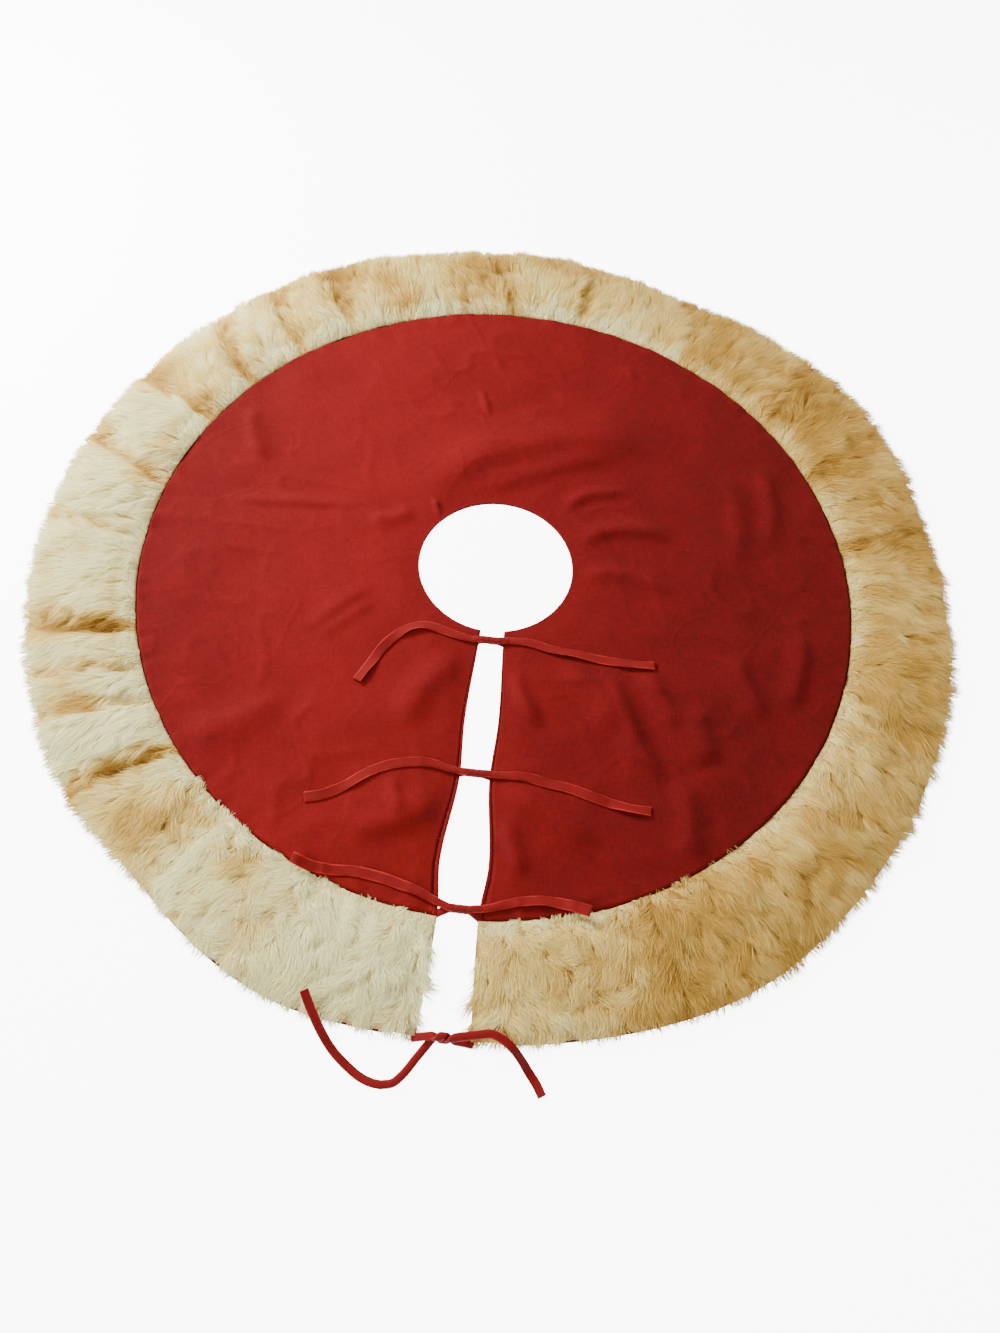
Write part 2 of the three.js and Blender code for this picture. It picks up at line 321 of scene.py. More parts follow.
def build_object(
    name: str,
    points: Array,
    quads: Array,
    triangles: Array | None = None,
    values: dict[str, Array] | None = None,
    chart: Array | None = None,
) -> bpy.types.Object:
    """Makes a smooth-shaded mesh object.

    Args:
        name: the piece's name.
        points: its vertices, each row a point.
        quads: its four-sided faces, as rows of vertex numbers.
        triangles: its three-sided faces, if it has any.
        values: numbers kept at the vertices for the finish, by name.
        chart: where each vertex lies in the flat chart that colours are baked in.

    Returns:
        The object, linked to the scene.
    """
    threes = np.zeros((0, 3), int) if triangles is None else triangles
    corners = np.concatenate([quads.ravel(), threes.ravel()]).astype(np.int32)
    sizes = np.concatenate([np.full(len(quads), 4), np.full(len(threes), 3)])
    starts = np.concatenate([[0], np.cumsum(sizes)[:-1]]).astype(np.int32)
    mesh = bpy.data.meshes.new(name)
    mesh.vertices.add(len(points))
    mesh.vertices.foreach_set("co", np.asarray(points, np.float32).ravel())
    mesh.loops.add(len(corners))
    mesh.loops.foreach_set("vertex_index", corners)
    mesh.polygons.add(len(sizes))
    mesh.polygons.foreach_set("loop_start", starts)
    mesh.polygons.foreach_set("use_smooth", np.ones(len(sizes), bool))
    mesh.update(calc_edges=True)
    for key, numbers in (values or {}).items():
        mesh.attributes.new(key, "FLOAT", "POINT").data.foreach_set("value", numbers.astype(np.float32))
    if chart is not None:
        mesh.uv_layers.new(name="OFBake").data.foreach_set("uv", chart[corners].astype(np.float32).ravel())
    made = bpy.data.objects.new(name, mesh)
    bpy.context.scene.collection.objects.link(made)
    return made


def closed_sheet(top: Array, thickness: float) -> tuple[Array, Array]:
    """Gives a grid of points a thickness, so that it is one closed sheet.

    Args:
        top: the upper surface, as rows and columns of points that run counter-clockwise and outwards.
        thickness: how far below it the lower surface lies.

    Returns:
        The vertices, upper ones first, and the four-sided faces.
    """
    rows, columns = top.shape[:2]
    upper = top.reshape(-1, 3)
    points = np.concatenate([upper, upper - np.array([0.0, 0.0, thickness])])
    index = np.arange(rows * columns).reshape(rows, columns)
    under = index + rows * columns
    faces = [
        np.stack([index[:-1, :-1], index[:-1, 1:], index[1:, 1:], index[1:, :-1]], -1).reshape(-1, 4),
        np.stack([under[:-1, :-1], under[1:, :-1], under[1:, 1:], under[:-1, 1:]], -1).reshape(-1, 4),
    ]
    rim = np.concatenate([index[0, :-1], index[:-1, -1], index[-1, :0:-1], index[:0:-1, 0]])
    ahead = np.roll(rim, -1)
    faces.append(np.stack([ahead, rim, rim + rows * columns, ahead + rows * columns], -1))
    return points, np.concatenate(faces)


# ---- The plan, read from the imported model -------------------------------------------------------


def node_points(name: str) -> Array:
    """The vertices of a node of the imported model, each row a point."""
    mesh = frame["nodes"][name].data
    found = np.zeros(len(mesh.vertices) * 3, np.float32)
    mesh.vertices.foreach_get("co", found)
    return found.reshape(-1, 3).astype(float)


# How far the border's middle lies outside its seam, in metres.
BORDER_MIDDLE = 0.07


@dataclass
class SkirtPlan:
    """Where the skirt's edges lie in plan: the neck, the slit, the face's seam and the border's edge.

    Attributes:
        seam_ditch: between the face and the border, where both turn down into the seam.
        neck_reach: how far from the middle the neck's edge is looked for.
        slit_reach: how far from the middle line the slit's edges are looked for.
    """

    seam_ditch: float = 1.2 * MM
    neck_reach: float = 0.12
    slit_reach: float = 0.032
    seam_radius: float = field(init=False)
    neck_centre: tuple[float, float] = field(init=False)
    neck_radius: float = field(init=False)
    slit_table: Array = field(init=False, repr=False)
    edge_table: Array = field(init=False, repr=False)

    def __post_init__(self) -> None:
        """Measures the nodes that hold these edges."""
        face, lining = node_points("face_cloth"), node_points("lining")
        self.seam_radius = float(np.hypot(face[:, 0], face[:, 1]).max()) + self.seam_ditch / 2
        near = lining[np.hypot(lining[:, 0], lining[:, 1]) < self.neck_reach]
        round_part = near[near[:, 1] > -self.neck_reach / 2]
        left, right = round_part[:, 0].min(), round_part[:, 0].max()
        self.neck_radius = float(right - left) / 2
        self.neck_centre = (float(left + right) / 2, float(round_part[:, 1].max()) - self.neck_radius)
        corner = -near[(near[:, 0] > 0) & (near[:, 0] < self.slit_reach)][:, 1].max()
        slit = lining[(lining[:, 0] > 0) & (lining[:, 0] < self.slit_reach) & (lining[:, 1] < -corner + MM)]
        order = np.argsort(-slit[:, 1])
        self.slit_table = np.stack([-slit[order, 1], slit[order, 0]])
        strips = np.concatenate([node_points(f"fur_strip_{i}") for i in range(1, 5)])
        angle = np.degrees(np.arctan2(strips[:, 1], strips[:, 0]))
        slots = np.round(angle, 1)
        places = np.unique(slots)
        edge = np.array([np.hypot(*strips[slots == p][:, :2].T).max() for p in places])
        self.edge_table = np.stack([places, edge])[:, edge > self.seam_radius + 0.1]

    @property
    def middle_radius(self) -> float:
        """The radius of the border's middle, which turns angles into lengths along it."""
        return self.seam_radius + BORDER_MIDDLE

    def edge_radius(self, angle: Array) -> Array:
        """The radius of the border's edge at angles in degrees."""
        wrapped = (np.asarray(angle) + 180.0) % 360.0 - 180.0
        return np.interp(wrapped, self.edge_table[0], self.edge_table[1], period=360.0)

    def half_angle(self, radius: Array) -> Array:
        """The angle in degrees between the slit's middle line and its edge at a radius."""
        return np.degrees(np.arcsin(np.interp(radius, *self.slit_table) / radius))

    def neck_at(self, angle: Array) -> Array:
        """How far from the middle the neck's edge lies at angles in degrees."""
        x, y = self.neck_centre
        turn = np.radians(angle)
        along = x * np.cos(turn) + y * np.sin(turn)
        return along + np.sqrt(along**2 + self.neck_radius**2 - x * x - y * y)

    def round_grid(self, around: Array, across: Array, outer: Any, inner: Any = None) -> tuple[Array, Array]:
        """Lays a grid over the skirt, from the slit's right edge round to its left edge.

        Args:
            around: shares of the way round, from 0 to 1.
            across: shares of the way outwards, from 0 to 1.
            outer: gives the outer radius at angles.
            inner: gives the inner radius at angles; the neck's edge if left out.

        Returns:
            The angle in degrees and the radius of each grid point, in rows round the skirt.
        """
        start = inner or self.neck_at
        u, v = around[:, None], across[None, :]
        angle = -90.0 + 360.0 * u + 0.0 * v
        radius = np.full_like(angle, self.seam_radius)
        for _ in range(4):
            half = self.half_angle(radius)
            angle = -90.0 + half + u * (360.0 - 2.0 * half)
            low, high = start(angle), outer(angle)
            radius = low + (high - low) * v
        return angle, radius


def past_slit(angle: Array) -> Array:
    """Angles in degrees, from -90 at the slit's right edge round to 270 at its left."""
    return np.mod(angle + 90.0, 360.0) - 90.0


def to_plan(angle: Array, radius: Array) -> tuple[Array, Array]:
    """The x and y of points given by an angle in degrees and a radius."""
    return radius * np.cos(np.radians(angle)), radius * np.sin(np.radians(angle))


# ---- Finishes -----------------------------------------------------------------------------------


def add_node(
    tree: bpy.types.NodeTree,
    kind: str,
    settings: dict[str, Any] | None = None,
    inputs: dict[str | int, Any] | None = None,
) -> bpy.types.Node:
    """Adds a shader node.

    Args:
        tree: the node tree it goes in.
        kind: the node's type.
        settings: the node's own properties, by name.
        inputs: a value, or another node's output to link, for each input by its name or number.

    Returns:
        The new node.
    """
    node = tree.nodes.new(kind)
    for key, value in (settings or {}).items():
        setattr(node, key, value)
    for key, value in (inputs or {}).items():
        if isinstance(value, bpy.types.NodeSocket):
            tree.links.new(value, node.inputs[key])
        else:
            node.inputs[key].default_value = value
    return node


def add_ramp(
    tree: bpy.types.NodeTree, fac: bpy.types.NodeSocket, stops: list[tuple[float, str]]
) -> bpy.types.NodeSocket:
    """Adds a run of colours along a value and returns its colour output."""
    ramp = add_node(tree, "ShaderNodeValToRGB", inputs={"Fac": fac})
    marks = ramp.color_ramp.elements
    while len(marks) < len(stops):
        marks.new(0.5)
    for mark, (place, colour) in zip(marks, stops):
        mark.position = place
        mark.color = linear_colour(colour)
    return ramp.outputs["Color"]


@dataclass(frozen=True)
class Finish:
    """A material and how its surface was made. Subclasses say what the eye sees.

    Attributes:
        name: the real material's common name.
        roughness: how matt it is.
    """

    name: str
    roughness: float

    def material(self) -> bpy.types.Material:
        """Builds the shader material."""
        made = bpy.data.materials.new(self.name)
        made.use_nodes = True
        tree = made.node_tree
        shader = next(n for n in tree.nodes if n.type == "BSDF_PRINCIPLED")
        shader.inputs["Roughness"].default_value = self.roughness
        shader.inputs["IOR"].default_value = 1.5
        self.dress(tree, shader)
        return made

    def dress(self, tree: bpy.types.NodeTree, shader: bpy.types.Node) -> None:
        """Adds the material's own colour and surface."""
        raise NotImplementedError


@dataclass(frozen=True)
class BrushedCotton(Finish):
    """Brushed cotton: woven, dyed red and brushed to a short nap. It gives the eye a matt, soft red with
    blotches where the nap lies differently, faint streaks along the weave, painted shade towards its right and
    left sides, and a pale bloom at grazing angles.

    Attributes:
        light: the colour where the nap stands up.
        dark: the colour where it lies flat, and where the painted shade at the sides is deepest.
        thread: thread spacing in metres; the real 0.5 mm is drawn three times as coarse, to show.
        side_shade: how much darker the cloth is painted towards its right and its left, as painted shade.
        crease: the depth of the fine creases.
        sheen: the strength of the bloom.
    """

    light: str = "#7e0f11"
    dark: str = "#520708"
    thread: float = 1.5 * MM
    side_shade: tuple[float, float] = (0.45, 0.34)
    crease: float = 0.35 * MM
    sheen: float = 0.12

    def dress(self, tree: bpy.types.NodeTree, shader: bpy.types.Node) -> None:
        """Adds the nap's blotches and streaks, the painted shade towards the sides, and the weave."""
        place = add_node(tree, "ShaderNodeTexCoord").outputs["Object"]
        blotch = add_node(
            tree,
            "ShaderNodeTexNoise",
            inputs={"Vector": place, "Scale": 14.0, "Detail": 4.0, "Roughness": 0.6},
        ).outputs["Fac"]
        stretched = add_node(
            tree,
            "ShaderNodeMapping",
            inputs={"Vector": place, "Scale": (1 / self.thread / 9, 1 / self.thread, 1.0)},
        ).outputs["Vector"]
        streak = add_node(
            tree,
            "ShaderNodeTexNoise",
            inputs={"Vector": stretched, "Scale": 1.0, "Detail": 3.0, "Roughness": 0.6},
        ).outputs["Fac"]
        other = add_node(
            tree,
            "ShaderNodeMapping",
            inputs={"Vector": place, "Scale": (1 / self.thread, 1 / self.thread / 9, 1.0)},
        ).outputs["Vector"]
        weft = add_node(
            tree,
            "ShaderNodeTexNoise",
            inputs={"Vector": other, "Scale": 1.0, "Detail": 3.0, "Roughness": 0.6},
        ).outputs["Fac"]
        weave = add_node(tree, "ShaderNodeMath", {"operation": "ADD"}, {0: streak, 1: weft}).outputs[0]
        tone = add_node(
            tree, "ShaderNodeMath", {"operation": "MULTIPLY_ADD"}, {0: blotch, 1: 0.6, 2: weave}
        ).outputs[0]
        across = add_node(tree, "ShaderNodeSeparateXYZ", inputs={0: place}).outputs["X"]
        # Painted shade: the cloth is drawn darker towards its right and its left.
        for (near, far), turned in zip(((-0.2, 0.4), (-0.2, -0.46)), self.side_shade):
            shaded_side = add_node(
                tree,
                "ShaderNodeMapRange",
                {"interpolation_type": "SMOOTHSTEP"},
                {"Value": across, "From Min": near, "From Max": far, "To Min": 0.0, "To Max": turned},
            ).outputs["Result"]
            tone = add_node(tree, "ShaderNodeMath", {"operation": "SUBTRACT"}, {0: tone, 1: shaded_side}).outputs[0]
        spread = add_node(
            tree, "ShaderNodeMapRange", inputs={"Value": tone, "From Min": 0.6, "From Max": 1.55}
        ).outputs["Result"]
        ramp = add_ramp(tree, spread, [(0.0, self.dark), (1.0, self.light)])
        tree.links.new(ramp, shader.inputs["Base Color"])
        creased = add_node(
            tree,
            "ShaderNodeTexNoise",
            inputs={"Vector": place, "Scale": 7.0, "Detail": 1.5, "Roughness": 0.4, "Distortion": 0.1},
        ).outputs["Fac"]
        from_line = add_node(
            tree, "ShaderNodeMath", {"operation": "SUBTRACT"}, {0: creased, 1: 0.5}
        ).outputs[0]
        beside = add_node(tree, "ShaderNodeMath", {"operation": "ABSOLUTE"}, {0: from_line}).outputs[0]
        ridge = add_node(
            tree,
            "ShaderNodeMapRange",
            {"interpolation_type": "SMOOTHSTEP"},
            {"Value": beside, "From Min": 0.0, "From Max": 0.03, "To Min": 1.0, "To Max": 0.0},
        ).outputs["Result"]
        crumpled = add_node(tree, "ShaderNodeBump", inputs={"Height": ridge, "Distance": self.crease})
        bump = add_node(
            tree,
            "ShaderNodeBump",
            inputs={
                "Height": weave, "Strength": 0.35,
                "Distance": 0.25 * MM, "Normal": crumpled.outputs["Normal"],
            },
        )
        tree.links.new(bump.outputs["Normal"], shader.inputs["Normal"])
        shader.inputs["Sheen Weight"].default_value = self.sheen
        shader.inputs["Sheen Roughness"].default_value = 0.45
        shader.inputs["Sheen Tint"].default_value = linear_colour("#e05040")
        shader.inputs["Specular IOR Level"].default_value = 0.15


@dataclass(frozen=True)
class TieTape(Finish):
    """Folded self-fabric tape: the face's red cotton, folded in four and stitched close to both edges. It
    gives the eye a slightly brighter red, with a painted highlight along its edges and a dashed line of stitches
    inside each.

    Attributes:
        body: the colour of the middle.
        edge_highlight: the colour of the painted highlight along the edges.
        stitch: the length of one stitch and its gap, in metres.
    """

    body: str = "#780d0e"
    edge_highlight: str = "#bb2b25"
    stitch: float = 3.0 * MM

    def dress(self, tree: bpy.types.NodeTree, shader: bpy.types.Node) -> None:
        """Adds the painted highlight along the edges, the stitches and the weave."""
        across = add_node(tree, "ShaderNodeAttribute", {"attribute_name": "across"}).outputs["Fac"]
        along = add_node(tree, "ShaderNodeAttribute", {"attribute_name": "along"}).outputs["Fac"]
        side = add_node(tree, "ShaderNodeMath", {"operation": "ABSOLUTE"}, {0: across}).outputs[0]
        edge = add_node(
            tree, "ShaderNodeMapRange", inputs={"Value": side, "From Min": 0.5, "From Max": 1.0}
        ).outputs["Result"]
        phase = add_node(
            tree, "ShaderNodeMath", {"operation": "DIVIDE"}, {0: along, 1: self.stitch}
        ).outputs[0]
        step = add_node(tree, "ShaderNodeMath", {"operation": "FRACT"}, {0: phase}).outputs[0]
        dash = add_node(tree, "ShaderNodeMath", {"operation": "LESS_THAN"}, {0: step, 1: 0.62}).outputs[0]
        from_line = add_node(
            tree, "ShaderNodeMath", {"operation": "COMPARE"}, {0: side, 1: 0.66, 2: 0.06}
        ).outputs[0]
        seam = add_node(tree, "ShaderNodeMath", {"operation": "MULTIPLY"}, {0: dash, 1: from_line}).outputs[0]
        place = add_node(tree, "ShaderNodeTexCoord").outputs["Object"]
        grain = add_node(
            tree, "ShaderNodeTexNoise", inputs={"Vector": place, "Scale": 420.0, "Detail": 2.0}
        ).outputs["Fac"]
        # Painted highlight along both edges, broken up by noise along the tape.
        highlight_noise = add_node(
            tree, "ShaderNodeTexNoise", inputs={"Vector": place, "Scale": 38.0, "Detail": 2.0}
        ).outputs["Fac"]
        highlight_breakup = add_node(
            tree, "ShaderNodeMapRange", inputs={"Value": highlight_noise, "From Min": 0.35, "From Max": 0.65}
        ).outputs["Result"]
        edge_highlight = add_node(tree, "ShaderNodeMath", {"operation": "MULTIPLY"}, {0: edge, 1: highlight_breakup}).outputs[0]
        base = add_ramp(tree, edge_highlight, [(0.0, self.body), (1.0, self.edge_highlight)])
        colour = add_node(
            tree,
            "ShaderNodeMix",
            {"data_type": "RGBA"},
            {0: seam, 6: base, 7: linear_colour("#550605")},
        ).outputs[2]
        tree.links.new(colour, shader.inputs["Base Color"])
        height = add_node(
            tree, "ShaderNodeMath", {"operation": "MULTIPLY_ADD"}, {0: seam, 1: -1.2, 2: grain}
        ).outputs[0]
        bump = add_node(
            tree, "ShaderNodeBump", inputs={"Height": height, "Strength": 0.5, "Distance": 0.3 * MM}
        )
        tree.links.new(bump.outputs["Normal"], shader.inputs["Normal"])
        shader.inputs["Sheen Weight"].default_value = 0.15
        shader.inputs["Sheen Tint"].default_value = linear_colour("#f06050")
        shader.inputs["Specular IOR Level"].default_value = 0.2


@dataclass(frozen=True)
class LiningTwill(Finish):
    """Cotton twill lining: plain, thin and diagonally woven. It gives the eye a flat, slightly shiny dark red
    with a fine slanting rib.

    Attributes:
        light: the colour of the ribs.
        dark: the colour between them.
        rib: rib spacing in metres; the real 0.6 mm is drawn twice as coarse, to show.
    """

    light: str = "#781012"
    dark: str = "#520809"
    rib: float = 1.2 * MM

    def dress(self, tree: bpy.types.NodeTree, shader: bpy.types.Node) -> None:
        """Adds the slanting ribs."""
        place = add_node(tree, "ShaderNodeTexCoord").outputs["Object"]
        ribs = add_node(
            tree,
            "ShaderNodeTexWave",
            {"bands_direction": "DIAGONAL"},
            {"Vector": place, "Scale": 0.314 / self.rib / 3, "Distortion": 0.6, "Detail": 1.0},
        ).outputs["Fac"]
        ramp = add_ramp(tree, ribs, [(0.0, self.dark), (1.0, self.light)])
        tree.links.new(ramp, shader.inputs["Base Color"])
        bump = add_node(
            tree, "ShaderNodeBump", inputs={"Height": ribs, "Strength": 0.3, "Distance": 0.2 * MM}
        )
        tree.links.new(bump.outputs["Normal"], shader.inputs["Normal"])


@dataclass(frozen=True)
class FauxFur(Finish):
    """Long-pile faux fur: acrylic fibres on a knitted back, cream. It gives the eye soft locks that are ivory
    where they stand proud, and tan and golden where painted shade darkens them in the folds and near the roots.

    Attributes:
        stops: colours from the deepest to the palest tone.
        shade: how much darker the roots are painted, as painted shade deep in the pile, as a share of the tone's
            range.
    """

    stops: tuple[tuple[float, str], ...] = (
        (0.0, "#6b430f"),
        (0.28, "#a8751c"),
        (0.52, "#d9ac4b"),
        (0.76, "#f9e085"),
        (1.0, "#fffbc0"),
    )
    shade: float = 0.22

    def dress(self, tree: bpy.types.NodeTree, shader: bpy.types.Node) -> None:
        """Adds the tone of each fibre from its root to its tip."""
        tone = add_node(tree, "ShaderNodeAttribute", {"attribute_name": "tone"}).outputs["Fac"]
        along = add_node(tree, "ShaderNodeAttribute", {"attribute_name": "along"}).outputs["Fac"]
        # Painted shade: the roots are drawn darker than the tips.
        lifted = add_node(
            tree, "ShaderNodeMath", {"operation": "MULTIPLY_ADD"}, {0: along, 1: self.shade, 2: tone}
        ).outputs[0]
        tree.links.new(add_ramp(tree, lifted, list(self.stops)), shader.inputs["Base Color"])
        shader.inputs["Sheen Weight"].default_value = 0.35
        shader.inputs["Sheen Roughness"].default_value = 0.4
        shader.inputs["Sheen Tint"].default_value = linear_colour("#fff6e0")
        shader.inputs["Specular IOR Level"].default_value = 0.3


@dataclass(frozen=True)
class KnittedBacking(Finish):
    """The fur's knitted back, with the dense short underfur on it. It is drawn darker than the pile, as the
    painted shade deep between the locks.

    Attributes:
        stops: colours from the deepest to the palest tone.
        fibre: the spacing of the underfur's tufts in metres.
    """

    stops: tuple[tuple[float, str], ...] = ((0.0, "#5d390c"), (0.5, "#a9792a"), (1.0, "#e8cf8a"))
    fibre: float = 2.0 * MM

    def dress(self, tree: bpy.types.NodeTree, shader: bpy.types.Node) -> None:
        """Adds the underfur's tufts, and darkens them as painted shade."""
        tone = add_node(tree, "ShaderNodeAttribute", {"attribute_name": "tone"}).outputs["Fac"]
        place = add_node(tree, "ShaderNodeTexCoord").outputs["Object"]
        tufts = add_node(
            tree, "ShaderNodeTexNoise", inputs={"Vector": place, "Scale": 1 / self.fibre, "Detail": 3.0}
        ).outputs["Fac"]
        mixed = add_node(
            tree, "ShaderNodeMath", {"operation": "MULTIPLY_ADD"}, {0: tufts, 1: 0.5, 2: tone}
        ).outputs[0]
        # Painted shade: the backing is drawn a quarter darker than the pile's tone.
        shaded_tone = add_node(tree, "ShaderNodeMath", {"operation": "SUBTRACT"}, {0: mixed, 1: 0.25}).outputs[0]
        tree.links.new(add_ramp(tree, shaded_tone, list(self.stops)), shader.inputs["Base Color"])
        bump = add_node(
            tree, "ShaderNodeBump", inputs={"Height": tufts, "Strength": 0.8, "Distance": 1.5 * MM}
        )
        tree.links.new(bump.outputs["Normal"], shader.inputs["Normal"])


@dataclass(frozen=True)
class SpunThread(Finish):
    """Spun polyester thread: two plies twisted together. It gives the eye a fine, slightly glossy line."""

    colour: str = "#b53a33"
    ply: float = 0.8 * MM

    def dress(self, tree: bpy.types.NodeTree, shader: bpy.types.Node) -> None:
        """Adds the twist of the plies."""
        place = add_node(tree, "ShaderNodeTexCoord").outputs["Object"]
        twist = add_node(
            tree, "ShaderNodeTexNoise", inputs={"Vector": place, "Scale": 1 / self.ply, "Detail": 1.0}
        ).outputs["Fac"]
        ramp = add_ramp(tree, twist, [(0.3, "#7d201c"), (0.7, self.colour)])
        tree.links.new(ramp, shader.inputs["Base Color"])


@dataclass(frozen=True)
class PaintedFloor(Finish):
    """A plain pale painted floor. It gives the eye an even near-white with soft shadows."""

    colour: str = "#ffffff"
    glow: float = 8.0

    def dress(self, tree: bpy.types.NodeTree, shader: bpy.types.Node) -> None:
        """Sets the pale colour, and lifts it a little so that it stays near white."""
        shader.inputs["Base Color"].default_value = linear_colour(self.colour)
        shader.inputs["Emission Color"].default_value = linear_colour(self.colour)
        shader.inputs["Emission Strength"].default_value = self.glow


def dress(piece: bpy.types.Object, finish: Finish, slot: str) -> None:
    """Gives a piece one finish, and names the record's slot that it belongs to."""
    piece.data.materials.clear()
    piece.data.materials.append(finish.material())
    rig.slot(piece, slot)


# ---- The face cloth's folds ---------------------------------------------------------------------


@dataclass(frozen=True)
class Fold:
    """A soft ridge, or a dent if its height is negative, in the spread cloth.

    Attributes:
        line: its course in plan, in metres.
        height: how far it rises.
        near: how wide it is on the left of its course.
        far: how wide it is on the right.
    """

    line: tuple[tuple[float, float], ...]
    height: float
    near: float
    far: float

    def at(self, x: Array, y: Array) -> Array:
        """The fold's height at points in plan."""
        course = smooth_line(np.array(self.line), 6 * MM)
        best = np.full(np.shape(x), np.inf)
        side = np.zeros(np.shape(x))
        share = np.zeros(np.shape(x))
        spans = len(course) - 1
        for k, (a, b) in enumerate(zip(course[:-1], course[1:])):
            run = b - a
            t = np.clip(((x - a[0]) * run[0] + (y - a[1]) * run[1]) / (run @ run), 0.0, 1.0)
            dx, dy = x - a[0] - t * run[0], y - a[1] - t * run[1]
            away = np.hypot(dx, dy)
            closer = away < best
            best = np.where(closer, away, best)
            side = np.where(closer, run[0] * dy - run[1] * dx, side)
            share = np.where(closer, (k + t) / spans, share)
        width = np.where(side > 0, self.near, self.far)
        ends = ease(0.0, 0.3, share) * ease(1.0, 0.7, share)
        return self.height * ends * np.exp(-((best / width) ** 2))


FACE_FOLDS = (
    Fold(
        ((-0.125, 0.085), (-0.080, 0.150), (0.030, 0.212),
         (0.110, 0.235), (0.215, 0.235)), 6.5 * MM, 0.044, 0.026
    ),
    Fold(((-0.060, 0.125), (0.020, 0.155), (0.090, 0.190), (0.170, 0.215)), 3.0 * MM, 0.020, 0.014),
    Fold(((0.070, 0.100), (0.110, 0.135), (0.175, 0.150)), 3.0 * MM, 0.012, 0.010),
    Fold(((0.090, 0.050), (0.150, 0.080), (0.240, 0.085)), 3.5 * MM, 0.016, 0.011),
    Fold(((0.100, 0.005), (0.165, 0.010), (0.245, -0.015)), 2.8 * MM, 0.012, 0.012),
    Fold(((-0.062, 0.312), (-0.052, 0.285), (-0.042, 0.258)), 1.8 * MM, 0.006, 0.004),
    Fold(((0.148, 0.390), (0.170, 0.362)), 1.6 * MM, 0.006, 0.005),
    Fold(((0.352, 0.235), (0.366, 0.150), (0.362, 0.070)), 3.0 * MM, 0.016, 0.010),
    Fold(((0.300, 0.220), (0.320, 0.130), (0.318, 0.040)), 2.5 * MM, 0.018, 0.012),
    Fold(((-0.102, 0.100), (-0.096, 0.085), (-0.092, 0.068)), 2.6 * MM, 0.004, 0.004),
    Fold(((-0.124, 0.080), (-0.150, 0.060), (-0.190, 0.050)), 2.0 * MM, 0.012, 0.012),
    Fold(((-0.385, 0.232), (-0.372, 0.180), (-0.345, 0.120)), 2.6 * MM, 0.014, 0.009),
    Fold(((-0.390, 0.058), (-0.290, 0.066), (-0.200, 0.074)), 1.8 * MM, 0.012, 0.007),
    Fold(((0.306, -0.090), (0.328, -0.140), (0.352, -0.190)), 3.6 * MM, 0.014, 0.018),
    Fold(((0.402, -0.040), (0.398, -0.100), (0.380, -0.175)), 3.2 * MM, 0.012, 0.014),
    Fold(((0.262, -0.170), (0.270, -0.215), (0.284, -0.260)), 4.0 * MM, 0.016, 0.024),
    Fold(((0.146, -0.132), (0.172, -0.190), (0.196, -0.245), (0.236, -0.285)), 5.0 * MM, 0.014, 0.020),
    Fold(((0.192, -0.128), (0.218, -0.170), (0.246, -0.220)), 4.0 * MM, 0.014, 0.012),
    Fold(((0.244, -0.270), (0.256, -0.320), (0.256, -0.385)), 4.0 * MM, 0.018, 0.012),
    Fold(((0.024, -0.150), (0.044, -0.190), (0.074, -0.235)), 3.4 * MM, 0.012, 0.010),
    Fold(((0.034, -0.345), (0.050, -0.385), (0.074, -0.420)), 3.4 * MM, 0.014, 0.010),
    Fold(((0.086, -0.140), (0.130, -0.165), (0.168, -0.235)), 4.0 * MM, 0.014, 0.018),
    Fold(((0.030, -0.315), (0.085, -0.335), (0.160, -0.375)), 3.0 * MM, 0.014, 0.018),
    Fold(((-0.100, -0.312), (-0.090, -0.340), (-0.080, -0.365)), 2.2 * MM, 0.008, 0.008),
    Fold(((-0.245, -0.140), (-0.200, -0.088), (-0.155, -0.045)), 1.1 * MM, 0.012, 0.009),
    Fold(((-0.228, -0.148), (-0.188, -0.108), (-0.146, -0.066)), 0.8 * MM, 0.009, 0.008),
    Fold(((-0.030, -0.135), (-0.075, -0.190), (-0.100, -0.260)), 3.4 * MM, 0.018, 0.022),
    Fold(((-0.030, -0.325), (-0.080, -0.365), (-0.150, -0.390)), 3.4 * MM, 0.016, 0.022),
    Fold(((-0.365, -0.290), (-0.300, -0.270), (-0.230, -0.220)), 3.0 * MM, 0.018, 0.026),
)


